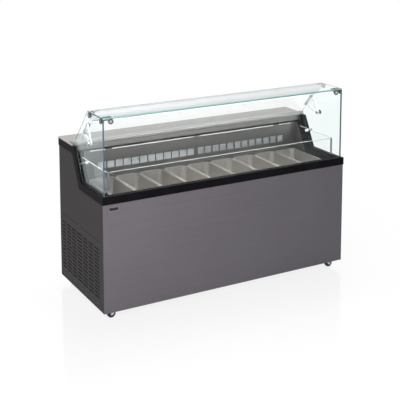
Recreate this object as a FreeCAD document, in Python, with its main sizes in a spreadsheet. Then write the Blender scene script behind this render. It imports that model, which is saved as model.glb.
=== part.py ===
import FreeCAD, Part
import math
import os
import re
import Sketcher

# Ice cream dipping cabinet: nine pans side by side in a cooled well, under a
# glass sneeze guard with a clear rear flap, on four casters.
# Millimetres. +Z up. The origin is on the floor, under the middle of the
# cabinet. The customer stands at -Y and the server at +Y.

Vector = FreeCAD.Vector

SIZES = [
    # case
    ("floor_clearance", 50, "floor to the underside of the panels"),
    ("panel_height", 635, "front panel, bottom edge to the black frame"),
    ("plinth_height", 406, "louvred panels, up to the seam in the sides"),
    ("seam_gap", 2, "open seam between two side panels"),
    ("sheet", 1.5, "steel sheet of the case"),
    ("past", 1, "how far a cut starts and ends beyond its piece"),
    ("return_width", 15, "folded edge along the bottom of a panel"),
    ("tray_rise", 24, "panel bottom edge to the underside of the base tray"),
    ("tray_depth", 30, "height of the base tray's rim"),
    ("tray_wall", 3, "plate of the base tray"),
    ("post_side", 30, "square corner post"),
    # black top frame
    ("band_height", 45, "visible height of the frame"),
    ("band_width", 24, "frame along the ends, across"),
    ("overhang", 3, "frame beyond the panels"),
    ("rim_depth", 38, "raised rim along the front"),
    ("shelf_drop", 28, "rim down to the shelf round the pans"),
    ("slope_start", 313, "front face to the foot of the slope"),
    ("slope_run", 101, "slope, front to back"),
    ("slope_rise", 192, "slope, upwards"),
    ("groove_depth", 6, "glass groove in the frame"),
    ("groove_play", 0.25, "groove beyond the glass on each face"),
    ("cheek_width", 44, "black cheek between the rear wall and the frame, across"),
    ("cheek_wall", 3, "sheet of the black cheek"),
    # well and pans
    ("pan_count", 9, "pans side by side"),
    ("pan_pitch", 165, "pan to pan"),
    ("pan_width", 162, "rim of a pan, across"),
    ("pan_length", 358, "rim of a pan, front to back"),
    ("pan_depth", 120, "pan below its rim"),
    ("pan_rim", 7, "flat rim of a pan"),
    ("rim_plate", 2, "thickness of a pan's rim"),
    ("pan_wall", 1.2, "wall of a pan"),
    ("pan_corner", 34, "corner radius of a pan"),
    ("pan_foot_radius", 14, "radius round the floor of a pan"),
    ("pan_draft", 6, "a pan's wall leans in by this over its depth"),
    ("pan_room", 360, "rack opening, front to back"),
    ("front_margin", 70, "front face to the pans"),
    ("side_margin", 87.5, "end of the row of pans to the side of the case"),
    ("rear_gap", 7, "pans to the rear wall of the well"),
    ("rear_depth", 223, "rear wall of the well to the back of the case"),
    ("rack_plate", 4, "pan rack"),
    ("rack_bar", 10, "bar between two pans"),
    ("liner_gap", 3, "row of pans to the liner"),
    ("tub_rise", 4, "seam in the sides to the foam of the tub"),
    ("tub_floor", 48.5, "insulation under the liner"),
    ("rear_insulation", 57, "insulation behind the air duct"),
    # rear wall of the well
    ("wall_height", 177, "rear wall above the shelf"),
    ("hem_height", 6, "bright folded top edge of the rear wall"),
    ("hem_depth", 4, "folded top edge, front to back"),
    ("hem_inset", 43, "end of the rear wall to the end of its hem"),
    ("joint_gap", 1, "gap between the two rear wall panels"),
    ("vent_rise", 55, "shelf to the air slots"),
    ("vent_height", 44, "height of an air slot"),
    ("vent_slot", 5, "width of an air slot"),
    ("vent_slot_pitch", 7.6, "air slot to air slot"),
    ("vent_slots", 6, "air slots in a group"),
    ("vent_pitch", 55, "group to group"),
    ("vent_groups", 12, "groups in a panel"),
    ("vent_inset", 15, "middle of the cabinet to the first slot"),
    ("wall_screw_x", 675, "middle of the cabinet to the screws of the rear wall"),
    ("wall_screw_low", 74, "shelf to the lower screws"),
    ("wall_screw_high", 141, "shelf to the upper screws"),
    ("wall_screw", 4.5, "radius of the screws' heads"),
    ("tab_length", 43, "clip on the top edge of the rear wall"),
    ("tab_height", 10, "clip on the top edge of the rear wall"),
    ("tab_x", 602, "middle of the cabinet to an outer clip"),
    # hood and worktop
    ("board", 7, "thickness of the worktop"),
    ("lip_setback", 435, "front face to the front of the worktop's lip"),
    ("lip_height", 20, "lip above the worktop"),
    ("lip_depth", 80, "lip, front to back"),
    ("lip_wall", 2, "sheet of the lip"),
    ("lip_nose", 6, "bevelled front edge of the lip"),
    ("lip_inset", 12, "end of the lip from the side of the case"),
    ("lip_seat", 1, "rebate of the worktop under the lip"),
    ("lip_play", 0.5, "lip to the step of its rebate"),
    ("hood_setback", 6, "hood behind the front of the lip"),
    ("hood_height", 30, "hood front"),
    ("hood_gap", 4, "shadow gap between hood and worktop"),
    ("hood_wall", 2, "sheet of the hood"),
    ("hood_return", 24, "folded lower edge of the hood"),
    ("hood_step", 8, "front of the hood to the flange that holds it"),
    # glass
    ("glass_height", 446, "frame to the top of the glass"),
    ("glass", 8, "thickness of a pane"),
    ("glass_inset", 12, "side pane behind the side of the case"),
    ("glass_setback", 10, "front pane behind the front of the case"),
    ("top_depth", 218, "top pane, front to back"),
    ("glass_rear", 425, "front face to the lower rear corner of a side pane"),
    ("rear_corner_height", 228, "frame to the lower rear corner of a side pane"),
    ("disc_radius", 16, "round clamp of a glass connector"),
    ("inner_disc_radius", 12, "round clamp inside the glass"),
    ("disc_plate", 5, "thickness of a clamp disc"),
    ("connector_reach", 46, "clamp from the edge of the front pane"),
    ("connector_drop", 21, "clamp below the top of the glass"),
    ("side_clamp_inset", 28, "side clamp from the edge of the top pane"),
    ("stud_radius", 5, "stud of a glass clamp"),
    ("block_size", 30, "angle block under the top pane"),
    ("block_plate", 7, "thickness of the angle block"),
    ("cap_radius", 4, "screw cap on the top pane"),
    ("cap_spacing", 13, "between the two screw caps"),
    ("cap_plate", 1.5, "thickness of a screw cap"),
    ("screw_bite", 1, "screw of the top pane into its block"),
    # lamp under the top pane
    ("lamp_inset", 40, "end of the lamp from the side of the case"),
    ("lamp_drop", 65, "height of the lamp"),
    ("lamp_depth", 41, "top flange of the lamp"),
    ("lamp_lean", 34, "lower edge of the lamp behind the upper one"),
    ("lamp_wall", 6, "wall of the lamp housing"),
    ("lamp_gap", 0.3, "diffuser to housing"),
    ("lamp_foot", 5, "lower edge of the diffuser, front to back"),
    # rear flap
    ("pivot_setback", 239, "front face to the flap's pivots"),
    ("pivot_rise", 249, "frame to the flap's pivots"),
    ("arm_reach", 106, "pivots to the inner face of the flap"),
    ("flap_sheet", 5, "thickness of the flap and its arms"),
    ("flap_upper", 56, "flap above the foot of the arms"),
    ("flap_lower", 150, "flap below the foot of the arms"),
    ("flap_gap", 15, "side pane to the end of the flap"),
    ("flange_width", 22, "foot of an arm, across"),
    ("flange_half", 54, "half the length of an arm's foot"),
    ("arm_bar", 15, "bar of an arm, round its opening"),
    ("window_inset", 22.5, "end of an arm's foot to its opening"),
    ("boss_radius", 13, "round end of an arm"),
    ("pin_radius", 3, "pivot pin in an arm"),
    ("pin_play", 0.05, "radial play of a pin"),
    ("pin_head", 7, "radius of the head of a pivot pin"),
    ("pin_cap", 4, "cap of a pivot pin outside the glass"),
    ("side_play", 0.3, "pivot shoulder to arm"),
    ("screw_half", 40.5, "half the distance between an arm's screws"),
    ("screw_radius", 3, "screw of an arm"),
    ("screw_head", 5.5, "radius of a screw's head"),
    ("screw_cap", 3, "height of a screw's head"),
    # clear inner guard
    ("guard_setback", 49, "front face to the guard"),
    ("guard_sheet", 5, "thickness of the guard"),
    ("guard_height", 153, "guard above the shelf"),
    ("guard_bend", 18, "outer bend radius of the guard"),
    ("guard_rear", 325, "front face to the lower rear corner of the guard"),
    ("knob_radius", 8, "knob that holds the guard"),
    ("knob_cap", 4, "height of a knob"),
    ("knob_setback", 330, "front face to the knob"),
    ("knob_rise", 110, "knob above the frame"),
    # casters
    ("wheel_radius", 25, "caster wheel"),
    ("wheel_width", 22, "caster wheel, across"),
    ("tread_radius", 4, "rounded edge of the tread"),
    ("trail", 20, "swivel axis to wheel axle"),
    ("swivel_inset_x", 84, "side of the case to a swivel axis"),
    ("swivel_inset_y", 52, "front or back of the case to a swivel axis"),
    ("plate_length", 64, "caster plate"),
    ("plate_width", 54, "caster plate, across"),
    ("plate_thick", 3, "caster plate"),
    ("race_radius", 19, "swivel race"),
    ("race_height", 6, "swivel race"),
    ("swivel_gap", 0.3, "race to fork"),
    ("crown_height", 6, "top of a fork"),
    ("stem_radius", 5, "kingpin"),
    ("stem_drop", 1, "top of the kingpin below the caster plate"),
    ("fork_gap", 1.2, "wheel to fork leg"),
    ("fork_leg", 2.5, "fork leg"),
    ("leg_half", 15.2, "half the width of a fork leg at its crown"),
    ("leg_foot", 8, "axle to the end of a fork leg"),
    ("axle_proud", 1, "axle beyond a fork leg"),
    ("axle_radius", 4, "wheel axle"),
    # louvres
    ("slot_length", 66, "louvre slot"),
    ("slot_height", 8, "louvre slot"),
    ("slot_pitch_y", 85, "slot column to column"),
    ("slot_pitch_z", 22, "slot row to row"),
    ("slot_columns", 7, "columns of slots"),
    ("slot_rows", 16, "rows of slots"),
    ("slot_first_y", 96.5, "front face to the middle of the first column"),
    ("slot_first_z", 27, "panel bottom edge to the middle of the first row"),
    ("back_slot_rows", 10, "rows of slots in the back panel"),
    ("back_slot_first_z", 93, "panel bottom edge to the lowest row in the back panel"),
    # plate and controls
    ("name_width", 60, "bare plate"),
    ("name_height", 22, "bare plate"),
    ("name_thick", 2, "bare plate"),
    ("name_corner", 5, "corner of the bare plate"),
    ("name_inset", 36, "side of the case to the plate"),
    ("name_drop", 18, "frame to the plate"),
    ("fascia_width", 240, "control opening"),
    ("fascia_height", 90, "control opening"),
    ("fascia_overlap", 12, "fascia behind the panel, all round"),
    ("fascia_plate", 2, "control fascia"),
    ("fascia_x", 480, "middle of the cabinet to the controls"),
    ("fascia_rise", 330, "panel bottom edge to the middle of the controls"),
    ("thermostat_width", 77, "thermostat"),
    ("thermostat_height", 34, "thermostat"),
    ("thermostat_depth", 45, "thermostat behind the fascia"),
    ("bezel_proud", 1.2, "thermostat in front of the fascia"),
    ("button_width", 9, "thermostat button"),
    ("button_height", 6, "thermostat button"),
    ("button_travel", 0.6, "thermostat button"),
    ("button_play", 0.25, "button in its hole"),
    ("up_shift", 8, "middle of the thermostat to the upper key"),
    ("down_shift", 26, "middle of the thermostat to the lower key"),
    ("button_depth", 6, "well of a button"),
    ("button_floor", 0.1, "pressed button to the floor of its well"),
    ("button_proud", 1, "button in front of the thermostat"),
    ("button_corner", 1, "corner radius of a button"),
    ("switch_shift", 86.4, "middle of the controls to the switch"),
    ("switch_width", 22, "rocker switch"),
    ("switch_height", 12, "rocker switch"),
    ("switch_depth", 12, "rocker switch"),
    ("rocker_dip", 1.6, "bend in the face of the rocker"),
    ("rocker_taper", 2, "rocker narrows by this on each side"),
    ("rocker_proud", 2.2, "rocker in front of the panel"),
    ("gland_radius", 11, "collar of the cable gland"),
    ("gland_bore", 5, "bore of the cable gland"),
    ("gland_collar", 2.6, "collar of the cable gland, along its axis"),
    ("thread_radius", 9, "thread of the cable gland"),
    ("thread_length", 16, "thread of the cable gland"),
    ("nut_radius", 12, "nut of the cable gland"),
    ("nut_length", 4, "nut of the cable gland"),
    # machine compartment
    ("condenser_x", 725, "middle of the cabinet to the condenser core"),
    ("condenser_depth", 60, "condenser core"),
    ("condenser_side", 300, "condenser core, square"),
    ("condenser_setback", 180, "front face to the condenser core"),
    ("tank_height", 12, "header above the condenser core"),
    ("groove_inset", 6, "side of the condenser core to its first air gap"),
    ("groove_margin", 8, "air gap to the ends of the core"),
    ("groove_width", 4, "air gap between fins"),
    ("groove_pitch", 8, "air gap to air gap"),
    ("groove_count", 36, "air gaps of the condenser core"),
    ("groove_reach", 24, "depth of an air gap"),
    ("fan_radius", 115, "condenser fan"),
    ("fan_play", 6, "fan to its shroud"),
    ("fan_blades", 5, "blades of the condenser fan"),
    ("fan_depth", 18, "condenser fan along its axis"),
    ("fan_room", 4, "condenser core to its fan"),
    ("shroud_depth", 30, "fan shroud along its axis"),
    ("hub_radius", 29, "hub of the condenser fan"),
    ("neck_length", 10, "fan shroud to its motor"),
    ("neck_radius", 22, "neck of the fan motor"),
    ("strap_plate", 4, "strap that carries the fan motor"),
    ("strap_half", 8, "half the height of that strap"),
    ("motor_radius", 36, "condenser fan motor"),
    ("motor_length", 62, "condenser fan motor"),
    ("shaft_radius", 4, "fan shaft"),
    ("compressor_radius", 88, "compressor shell"),
    ("compressor_height", 190, "compressor shell"),
    ("compressor_x", 430, "middle of the cabinet to the compressor"),
    ("compressor_setback", 330, "front face to the compressor"),
    ("crown_radius", 37, "rounding of the compressor shell"),
    ("foot_height", 18, "rubber feet under the compressor"),
    ("foot_radius", 11, "rubber foot"),
    ("foot_inset", 12, "edge of the compressor plate to a foot"),
    ("mount_length", 200, "plate under the compressor"),
    ("mount_width", 123, "plate under the compressor, front to back"),
    ("mount_plate", 3, "thickness of that plate"),
    ("pipe_radius", 6, "refrigerant pipe"),
    ("pipe_bend", 18, "bend radius of a pipe, along its middle"),
    ("pipe_play", 3, "pipe to the edge of its hole"),
    ("stub_height", 8, "pipe stub above the compressor"),
    ("stub_wall", 2, "wall of a pipe stub"),
    ("discharge_x", 470, "middle of the cabinet to the discharge stub"),
    ("discharge_y", 30, "discharge pipe behind the middle of the compressor"),
    ("liquid_inset", 40, "end of the evaporator to the rising liquid pipe"),
    ("liquid_y", 60, "liquid pipe in front of the middle of the compressor"),
    ("pipe_level", 418, "floor to the pipes that run across"),
    ("blade_chord", 74, "fan blade, across"),
    ("blade_plate", 2.5, "fan blade"),
    ("blade_pitch", 16, "fan blade, degrees to the plane of the fan"),
    # evaporator and air duct
    ("coil_half_length", 640, "half the length of the evaporator"),
    ("coil_setback", 150, "front face to the evaporator"),
    ("coil_depth", 280, "evaporator, front to back"),
    ("coil_height", 42, "evaporator"),
    ("coil_legs", 10, "evaporator above the liner's floor"),
    ("fin_count", 24, "fins of the evaporator"),
    ("fin_plate", 1.5, "evaporator fin"),
    ("tube_radius", 5, "evaporator tube"),
    ("tube_count", 5, "evaporator tubes"),
    ("bracket_half", 12, "half the height of a bracket in the duct"),
    ("bracket_inset", 10, "end of the cross-flow fan motor to its bracket"),
    ("bearing", 12, "bearing block of the cross-flow fan"),
    ("rotor_radius", 30, "cross-flow fan"),
    ("rotor_setback", 556, "front face to the cross-flow fan"),
    ("rotor_rise", 80, "shelf to the cross-flow fan"),
    ("rotor_start", 55, "middle of the cabinet to a fan drum"),
    ("rotor_length", 600, "fan drum"),
    ("vane_count", 14, "vanes of a fan drum"),
    ("vane_depth", 9, "vane of a fan drum"),
    ("vane_plate", 2, "thickness of a vane"),
    ("vane_sweep", 3, "vane leans by this"),
    ("vane_rim", 1, "vane to the rim of its drum"),
    ("drum_plate", 3, "end disc of a fan drum"),
    ("shaft_play", 1, "end of the fan shaft to the liner"),
    ("blower_radius", 34, "cross-flow fan motor"),
    ("blower_half", 45, "half the length of that motor"),
    ("rotor_shaft", 4, "shaft of the cross-flow fan"),
]

# Places worked out from the sizes above.
PLACES = {
    "half_width": "pan_count * pan_pitch / 2 + side_margin",
    "well_half": "pan_count * pan_pitch / 2 + liner_gap",
    "depth": "front_margin + pan_room + rear_gap + rear_depth",
    "front": "0 - depth / 2",
    "back": "depth / 2",
    "panel_z": "floor_clearance",
    "seam_z": "panel_z + plinth_height",
    "tray_z": "panel_z + tray_rise",
    "band_z": "panel_z + panel_height",
    "ledge_z": "band_z + band_height",
    "shelf_z": "ledge_z - shelf_drop",
    "slope_z": "ledge_z + slope_rise",
    "top_z": "slope_z + board",
    "seat_z": "top_z - lip_seat",
    "glass_z": "ledge_z + glass_height",
    "lean": "slope_run / slope_rise",
    "slant": "sqrt(1 + lean * lean)",
    "slope_y": "front + slope_start",
    "band_x": "half_width - band_width",
    "band_back_z": "slope_z - band_height",
    "wall_y": "back - rear_depth",
    "liner_x": "well_half + sheet",
    "wall_x": "band_x - cheek_width",
    "liner_y": "front + front_margin - liner_gap - sheet",
    "rack_z": "shelf_z - rack_plate",
    "tub_z": "seam_z + tub_rise",
    "liner_z": "tub_z + tub_floor",
    "duct_y": "back - sheet - rear_insulation",
    "lip_y": "front + lip_setback",
    "hood_y": "lip_y + hood_setback",
    "hood_z": "slope_z - hood_gap - hood_height",
    "pane_x": "half_width - glass_inset",
    "pane_y": "front + glass_setback",
    "edge_run": "glass_rear - glass_setback - top_depth",
    "edge_rise": "glass_height - rear_corner_height",
    "pivot_y": "front + pivot_setback",
    "pivot_z": "ledge_z + pivot_rise",
    "flap_x": "pane_x - glass - flap_gap",
    "guard_x": "half_width - guard_setback",
    "guard_shift": "guard_rear - slope_start + shelf_drop * lean",
    "cheek_shift": "guard_shift + side_play",
    "swivel_x": "half_width - swivel_inset_x",
    "swivel_y": "depth / 2 - swivel_inset_y",
    "crown_z": "tray_z - plate_thick - race_height - swivel_gap",
    "fascia_z": "panel_z + fascia_rise",
    "fan_y": "front + condenser_setback + condenser_side / 2",
    "core_top": "machine_floor + condenser_side + tank_height",
    "fan_z": "(machine_floor + core_top) / 2",
    "fan_x": "0 - condenser_x + condenser_depth / 2 + fan_room",
    "strap_x": "0 - condenser_x + condenser_depth / 2 + shroud_depth",
    "compressor_y": "front + compressor_setback",
    "discharge_row": "compressor_y + discharge_y",
    "liquid_row": "compressor_y - liquid_y",
    "rotor_y": "front + rotor_setback",
    "rotor_z": "shelf_z + rotor_rise",
    "coil_z": "liner_z + sheet + coil_legs",
    "machine_floor": "tray_z + tray_wall",
    "liquid_x": "coil_half_length - liquid_inset",
}

doc = FreeCAD.newDocument("dipping_cabinet")
sheet = doc.addObject("Spreadsheet::Sheet", "Sizes")
for row, (alias, size, meaning) in enumerate(SIZES, start=1):
    sheet.set(f"A{row}", str(size))
    sheet.setAlias(f"A{row}", alias)
    sheet.set(f"B{row}", meaning)
doc.recompute()

WORD = re.compile(r"[a-z][a-z0-9_]*")
CELLS = {alias for alias, size, meaning in SIZES}


def formula(text):
    """Write a size or a place out in the cells of the sheet."""
    def spell(match):
        word = match.group()
        if word in PLACES:
            return "(" + formula(PLACES[word]) + ")"
        return "Sizes." + word if word in CELLS else word
    return WORD.sub(spell, str(text))


def value(text):
    return float(sheet.evalExpression(formula(text)))


def bind(thing, name, text):
    thing.setExpression(name, formula(text))


def bind_place(thing, x="0", y="0", z="0"):
    for axis, text in zip("xyz", (x, y, z)):
        bind(thing, f"Placement.Base.{axis}", text)


# ---------------------------------------------------------------- sketches

PLANES = {"XY": "XY_Plane", "XZ": "XZ_Plane", "YZ": "YZ_Plane"}


def new_body(label):
    body = doc.addObject("PartDesign::Body", label)
    body.Label = label
    return body


def new_sketch(body, plane, start):
    """A sketch on one of the body's own planes, moved to start along it."""
    sketch = body.newObject("Sketcher::SketchObject", body.Label + "_sketch")
    planes = {part.Role: part for part in body.Origin.OriginFeatures}
    sketch.AttachmentSupport = [(planes[PLANES[plane]], "")]
    sketch.MapMode = "FlatFace"
    # The XZ plane faces -Y, so its offset is the other way round.
    offset = f"0 - ({start})" if plane == "XZ" else start
    bind(sketch, "AttachmentOffset.Base.z", offset)
    return sketch


def hold_point(sketch, line, end, u, v):
    for kind, text in (("DistanceX", u), ("DistanceY", v)):
        rule = Sketcher.Constraint(kind, -1, 1, line, end, value(text))
        number = sketch.addConstraint(rule)
        sketch.setExpression(f"Constraints[{number}]", formula(text))


def draw_polygon(sketch, points):
    spots = [Vector(value(u), value(v), 0) for u, v in points]
    first = sketch.GeometryCount
    for here, there in zip(spots, spots[1:] + spots[:1]):
        sketch.addGeometry(Part.LineSegment(here, there), False)
    count = len(points)
    for line in range(count):
        after = first + (line + 1) % count
        sketch.addConstraint(Sketcher.Constraint("Coincident", first + line, 2, after, 1))
    for line, (u, v) in enumerate(points):
        hold_point(sketch, first + line, 1, u, v)


def draw_circle(sketch, u, v, radius):
    middle = Vector(value(u), value(v), 0)
    ring = Part.Circle(middle, Vector(0, 0, 1), value(radius))
    index = sketch.addGeometry(ring, False)
    hold_point(sketch, index, 3, u, v)
    number = sketch.addConstraint(Sketcher.Constraint("Radius", index, value(radius)))
    sketch.setExpression(f"Constraints[{number}]", formula(radius))


def draw_slot(sketch, u, v, length, height):
    """A slot with round ends; its middle is at (u, v)."""
    half, radius = value(length) / 2 - value(height) / 2, value(height) / 2
    left = Vector(value(u) - half, value(v), 0)
    right = Vector(value(u) + half, value(v), 0)
    up = Vector(0, radius, 0)
    quarter = math.pi / 2
    normal = Vector(0, 0, 1)
    low = sketch.addGeometry(Part.LineSegment(left - up, right - up), False)
    circle = Part.Circle(right, normal, radius)
    end = sketch.addGeometry(Part.ArcOfCircle(circle, -quarter, quarter), False)
    high = sketch.addGeometry(Part.LineSegment(right + up, left + up), False)
    circle = Part.Circle(left, normal, radius)
    start = sketch.addGeometry(Part.ArcOfCircle(circle, quarter, 3 * quarter), False)
    for one, other in ((low, end), (end, high), (high, start), (start, low)):
        sketch.addConstraint(Sketcher.Constraint("Tangent", one, 2, other, 1))
    hold_point(sketch, start, 3, f"{u} - ({length}) / 2 + ({height}) / 2", v)
    number = sketch.addConstraint(Sketcher.Constraint("DistanceX", start, 3, end, 3, 2 * half))
    sketch.setExpression(f"Constraints[{number}]", formula(f"({length}) - ({height})"))
    number = sketch.addConstraint(Sketcher.Constraint("Radius", end, radius))
    sketch.setExpression(f"Constraints[{number}]", formula(f"({height}) / 2"))
    sketch.addConstraint(Sketcher.Constraint("Horizontal", low))


def rectangle(u0, u1, v0, v1):
    return [(u0, v0), (u1, v0), (u1, v1), (u0, v1)]


def extrude(body, kind, plane, start, length, outlines, circles, slots=()):
    sketch = new_sketch(body, plane, start)
    for slot in slots:
        draw_slot(sketch, *slot)
    for points in outlines:
        draw_polygon(sketch, points)
    for circle in circles:
        draw_circle(sketch, *circle)
    feature = body.newObject(kind, body.Label + "_feature")
    feature.Profile = sketch
    bind(feature, "Length", length)
    return feature


def pad(body, plane, start, length, outlines=(), circles=()):
    """Add material from start towards the positive axis."""
    feature = extrude(body, "PartDesign::Pad", plane, start, length, outlines, circles)
    feature.Reversed = plane == "XZ"
    doc.recompute()
    return feature


def cut(body, plane, start, length, outlines=(), circles=(), slots=()):
    """Take material from start towards the positive axis."""
    before = body.Shape.Volume
    feature = extrude(body, "PartDesign::Pocket", plane, start, length,
                      outlines, circles, slots)
    feature.Reversed = plane != "XZ"
    doc.recompute()
    if not body.Shape.Volume < before:
        raise RuntimeError(f"{body.Label}: a pocket cut nothing")
    return feature


def origin_axis(body, letter):
    axes = {part.Role: part for part in body.Origin.OriginFeatures}
    return (axes[letter + "_Axis"], [""])


def repeat(body, feature, letter, step, count, second=None):
    """Repeat a feature in a row, or in a grid with a second row of steps."""
    row = body.newObject("PartDesign::LinearPattern", body.Label + "_row")
    row.Originals = [feature]
    row.Direction = origin_axis(body, letter)
    row.Mode = "Spacing"
    bind(row, "Offset", step)
    bind(row, "Occurrences", count)
    if second:
        letter_two, step_two, count_two = second
        row.Direction2 = origin_axis(body, letter_two)
        row.Mode2 = "Extent"
        bind(row, "Length2", f"({count_two} - 1) * ({step_two})")
        bind(row, "Occurrences2", count_two)
    body.Tip = row
    doc.recompute()
    return row


def repeat_round(body, feature, letter, count):
    ring = body.newObject("PartDesign::PolarPattern", body.Label + "_ring")
    ring.Originals = [feature]
    ring.Axis = origin_axis(body, letter)
    ring.Angle = 360
    bind(ring, "Occurrences", count)
    body.Tip = ring
    doc.recompute()
    return ring


def round_edges(body, radius, wanted):
    """Fillet the edges that the function wanted picks."""
    base = body.Tip
    names = [f"Edge{i}" for i, edge in enumerate(base.Shape.Edges, start=1) if wanted(edge)]
    fillet = body.newObject("PartDesign::Fillet", body.Label + "_fillet")
    fillet.Base = (base, names)
    bind(fillet, "Radius", radius)
    doc.recompute()
    return fillet


def runs_along(edge, axis):
    """True for a straight edge along x, y or z (0, 1 or 2)."""
    if edge.Curve.TypeId != "Part::GeomLine":
        return False
    return abs(edge.Curve.Direction[axis]) > 0.999


# -------------------------------------------------------------- primitives

def box(label, x0, x1, y0, y1, z0, z1):
    thing = doc.addObject("Part::Box", label)
    bind(thing, "Length", f"({x1}) - ({x0})")
    bind(thing, "Width", f"({y1}) - ({y0})")
    bind(thing, "Height", f"({z1}) - ({z0})")
    bind_place(thing, x0, y0, z0)
    return thing


TURNS = {
    "X": FreeCAD.Rotation(Vector(0, 1, 0), 90),
    "Y": FreeCAD.Rotation(Vector(1, 0, 0), -90),
    "Z": FreeCAD.Rotation(),
}


def cylinder(label, axis, radius, length, x, y, z):
    """A cylinder from (x, y, z) towards the positive axis."""
    thing = doc.addObject("Part::Cylinder", label)
    bind(thing, "Radius", radius)
    bind(thing, "Height", length)
    thing.Placement = FreeCAD.Placement(Vector(), TURNS[axis])
    bind_place(thing, x, y, z)
    return thing


def join(label, things):
    fuse = doc.addObject("Part::MultiFuse", label)
    fuse.Shapes = things
    fuse.Refine = True
    fuse.Label = label
    return fuse


def subtract(label, base, tool):
    cutter = doc.addObject("Part::Cut", label)
    cutter.Base = base
    cutter.Tool = tool
    cutter.Label = label
    return cutter


def gather(label, things):
    group = doc.addObject("Part::Compound", label)
    group.Links = things
    group.Label = label
    return group


PARTS = []


def keep(thing, label=None):
    """Note a finished sub-part, which gets a file of its own."""
    if label:
        thing.Label = label
    PARTS.append(thing)
    return thing


def slope_at(height, shift="0"):
    """How far back the slope, or a line beside it, is at a height."""
    return f"slope_y + ({height} - ledge_z) * lean + ({shift})"


SIDES = (("left", "0 - "), ("right", ""))


def on_side(sign, inner, outer):
    """Start of a layer between two distances from the middle, on one side."""
    return f"0 - ({outer})" if sign else inner


def signed(sign, text):
    return f"0 - ({text})" if sign else text


def ends(sign, inner, outer):
    """Both ends of such a layer, the lower one first."""
    return (f"0 - ({outer})", f"0 - ({inner})") if sign else (inner, outer)


# -------------------------------------------------------------------- case

def make_base_tray():
    body = new_body("base_tray")
    x, y = "half_width - sheet", "depth / 2 - sheet"
    floor = rectangle(f"0 - ({x})", x, f"0 - ({y})", y)
    pad(body, "XY", "tray_z", "tray_depth", [floor])
    inner_x, inner_y = f"{x} - tray_wall", f"{y} - tray_wall"
    hollow = rectangle(f"0 - ({inner_x})", inner_x, f"0 - ({inner_y})", inner_y)
    cut(body, "XY", "tray_z + tray_wall", "tray_depth", [hollow])
    posts = []
    for x_sign in ("0 - ", ""):
        for y_sign in ("0 - ", ""):
            across = [f"{x_sign}({x})", f"{x_sign}({x} - post_side)"]
            along = [f"{y_sign}({y})", f"{y_sign}({y} - post_side)"]
            posts.append(rectangle(*across, *along))
    pad(body, "XY", "tray_z + tray_wall", "tub_z - tray_z - tray_wall", posts)
    return keep(body)


def make_front_panel():
    body = new_body("front_panel")
    face = rectangle("0 - half_width", "half_width", "panel_z", "band_z")
    pad(body, "XZ", "front", "sheet", [face])
    inner = "half_width - sheet"
    fold = rectangle(f"0 - ({inner})", inner, "panel_z", "panel_z + sheet")
    pad(body, "XZ", "front + sheet", "return_width - sheet", [fold])
    return keep(body)


def make_side_panel(side, sign):
    body = new_body(f"side_panel_{side}")
    shift = "band_height * slant"
    outline = [
        ("front + sheet", "seam_z + seam_gap / 2"),
        ("back", "seam_z + seam_gap / 2"),
        ("back", "band_back_z"),
        (slope_at("band_back_z", shift), "band_back_z"),
        (slope_at("band_z", shift), "band_z"),
        ("front + sheet", "band_z"),
    ]
    start = on_side(sign, "half_width - sheet", "half_width")
    pad(body, "YZ", start, "sheet", [outline])
    return keep(body)


def make_louvre_panel(side, sign):
    body = new_body(f"louvre_panel_{side}")
    face = rectangle("front + sheet", "back", "panel_z", "seam_z - seam_gap / 2")
    start = on_side(sign, "half_width - sheet", "half_width")
    pad(body, "YZ", start, "sheet", [face])
    fold = rectangle("front + return_width", "back - return_width", "panel_z", "panel_z + sheet")
    start = on_side(sign, "half_width - return_width", "half_width - sheet")
    pad(body, "YZ", start, "return_width - sheet", [fold])
    slot = ("front + slot_first_y", "panel_z + slot_first_z", "slot_length", "slot_height")
    start = on_side(sign, "half_width - sheet - past", "half_width + past")
    first = cut(body, "YZ", start, "sheet + 2 * past", slots=[slot])
    rows = ("Z", "slot_pitch_z", "slot_rows")
    repeat(body, first, "Y", "slot_pitch_y", "slot_columns", rows)
    return keep(body)


def make_back_panel():
    body = new_body("back_panel")
    wide, narrow = "half_width - sheet", "band_x"
    outline = [
        (f"0 - ({wide})", "panel_z"), (wide, "panel_z"),
        (wide, "band_back_z"), (narrow, "band_back_z"),
        (narrow, "slope_z"), (f"0 - ({narrow})", "slope_z"),
        (f"0 - ({narrow})", "band_back_z"), (f"0 - ({wide})", "band_back_z"),
    ]
    pad(body, "XZ", "back - sheet", "sheet", [outline])
    x, z = "fascia_x", "fascia_z"
    opening = rectangle(f"{x} - fascia_width / 2", f"{x} + fascia_width / 2",
                        f"{z} - fascia_height / 2", f"{z} + fascia_height / 2")
    gland = (x, f"{z} - fascia_height - gland_radius", "thread_radius")
    start, length = "back - sheet - past", "sheet + 2 * past"
    cut(body, "XZ", start, length, [opening], [gland])
    slot = ("0 - condenser_x", "panel_z + back_slot_first_z", "slot_length", "slot_height")
    first = cut(body, "XZ", start, length, slots=[slot])
    rows = ("Z", "slot_pitch_z", "back_slot_rows")
    repeat(body, first, "X", "slot_pitch_y", "slot_columns", rows)
    return keep(body)


def pipe_holes():
    """Where the suction and liquid pipes rise through the tub."""
    radius = "pipe_radius + pipe_play"
    return [("0 - compressor_x", "compressor_y", radius),
            ("0 - liquid_x", "liquid_row", radius)]


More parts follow.
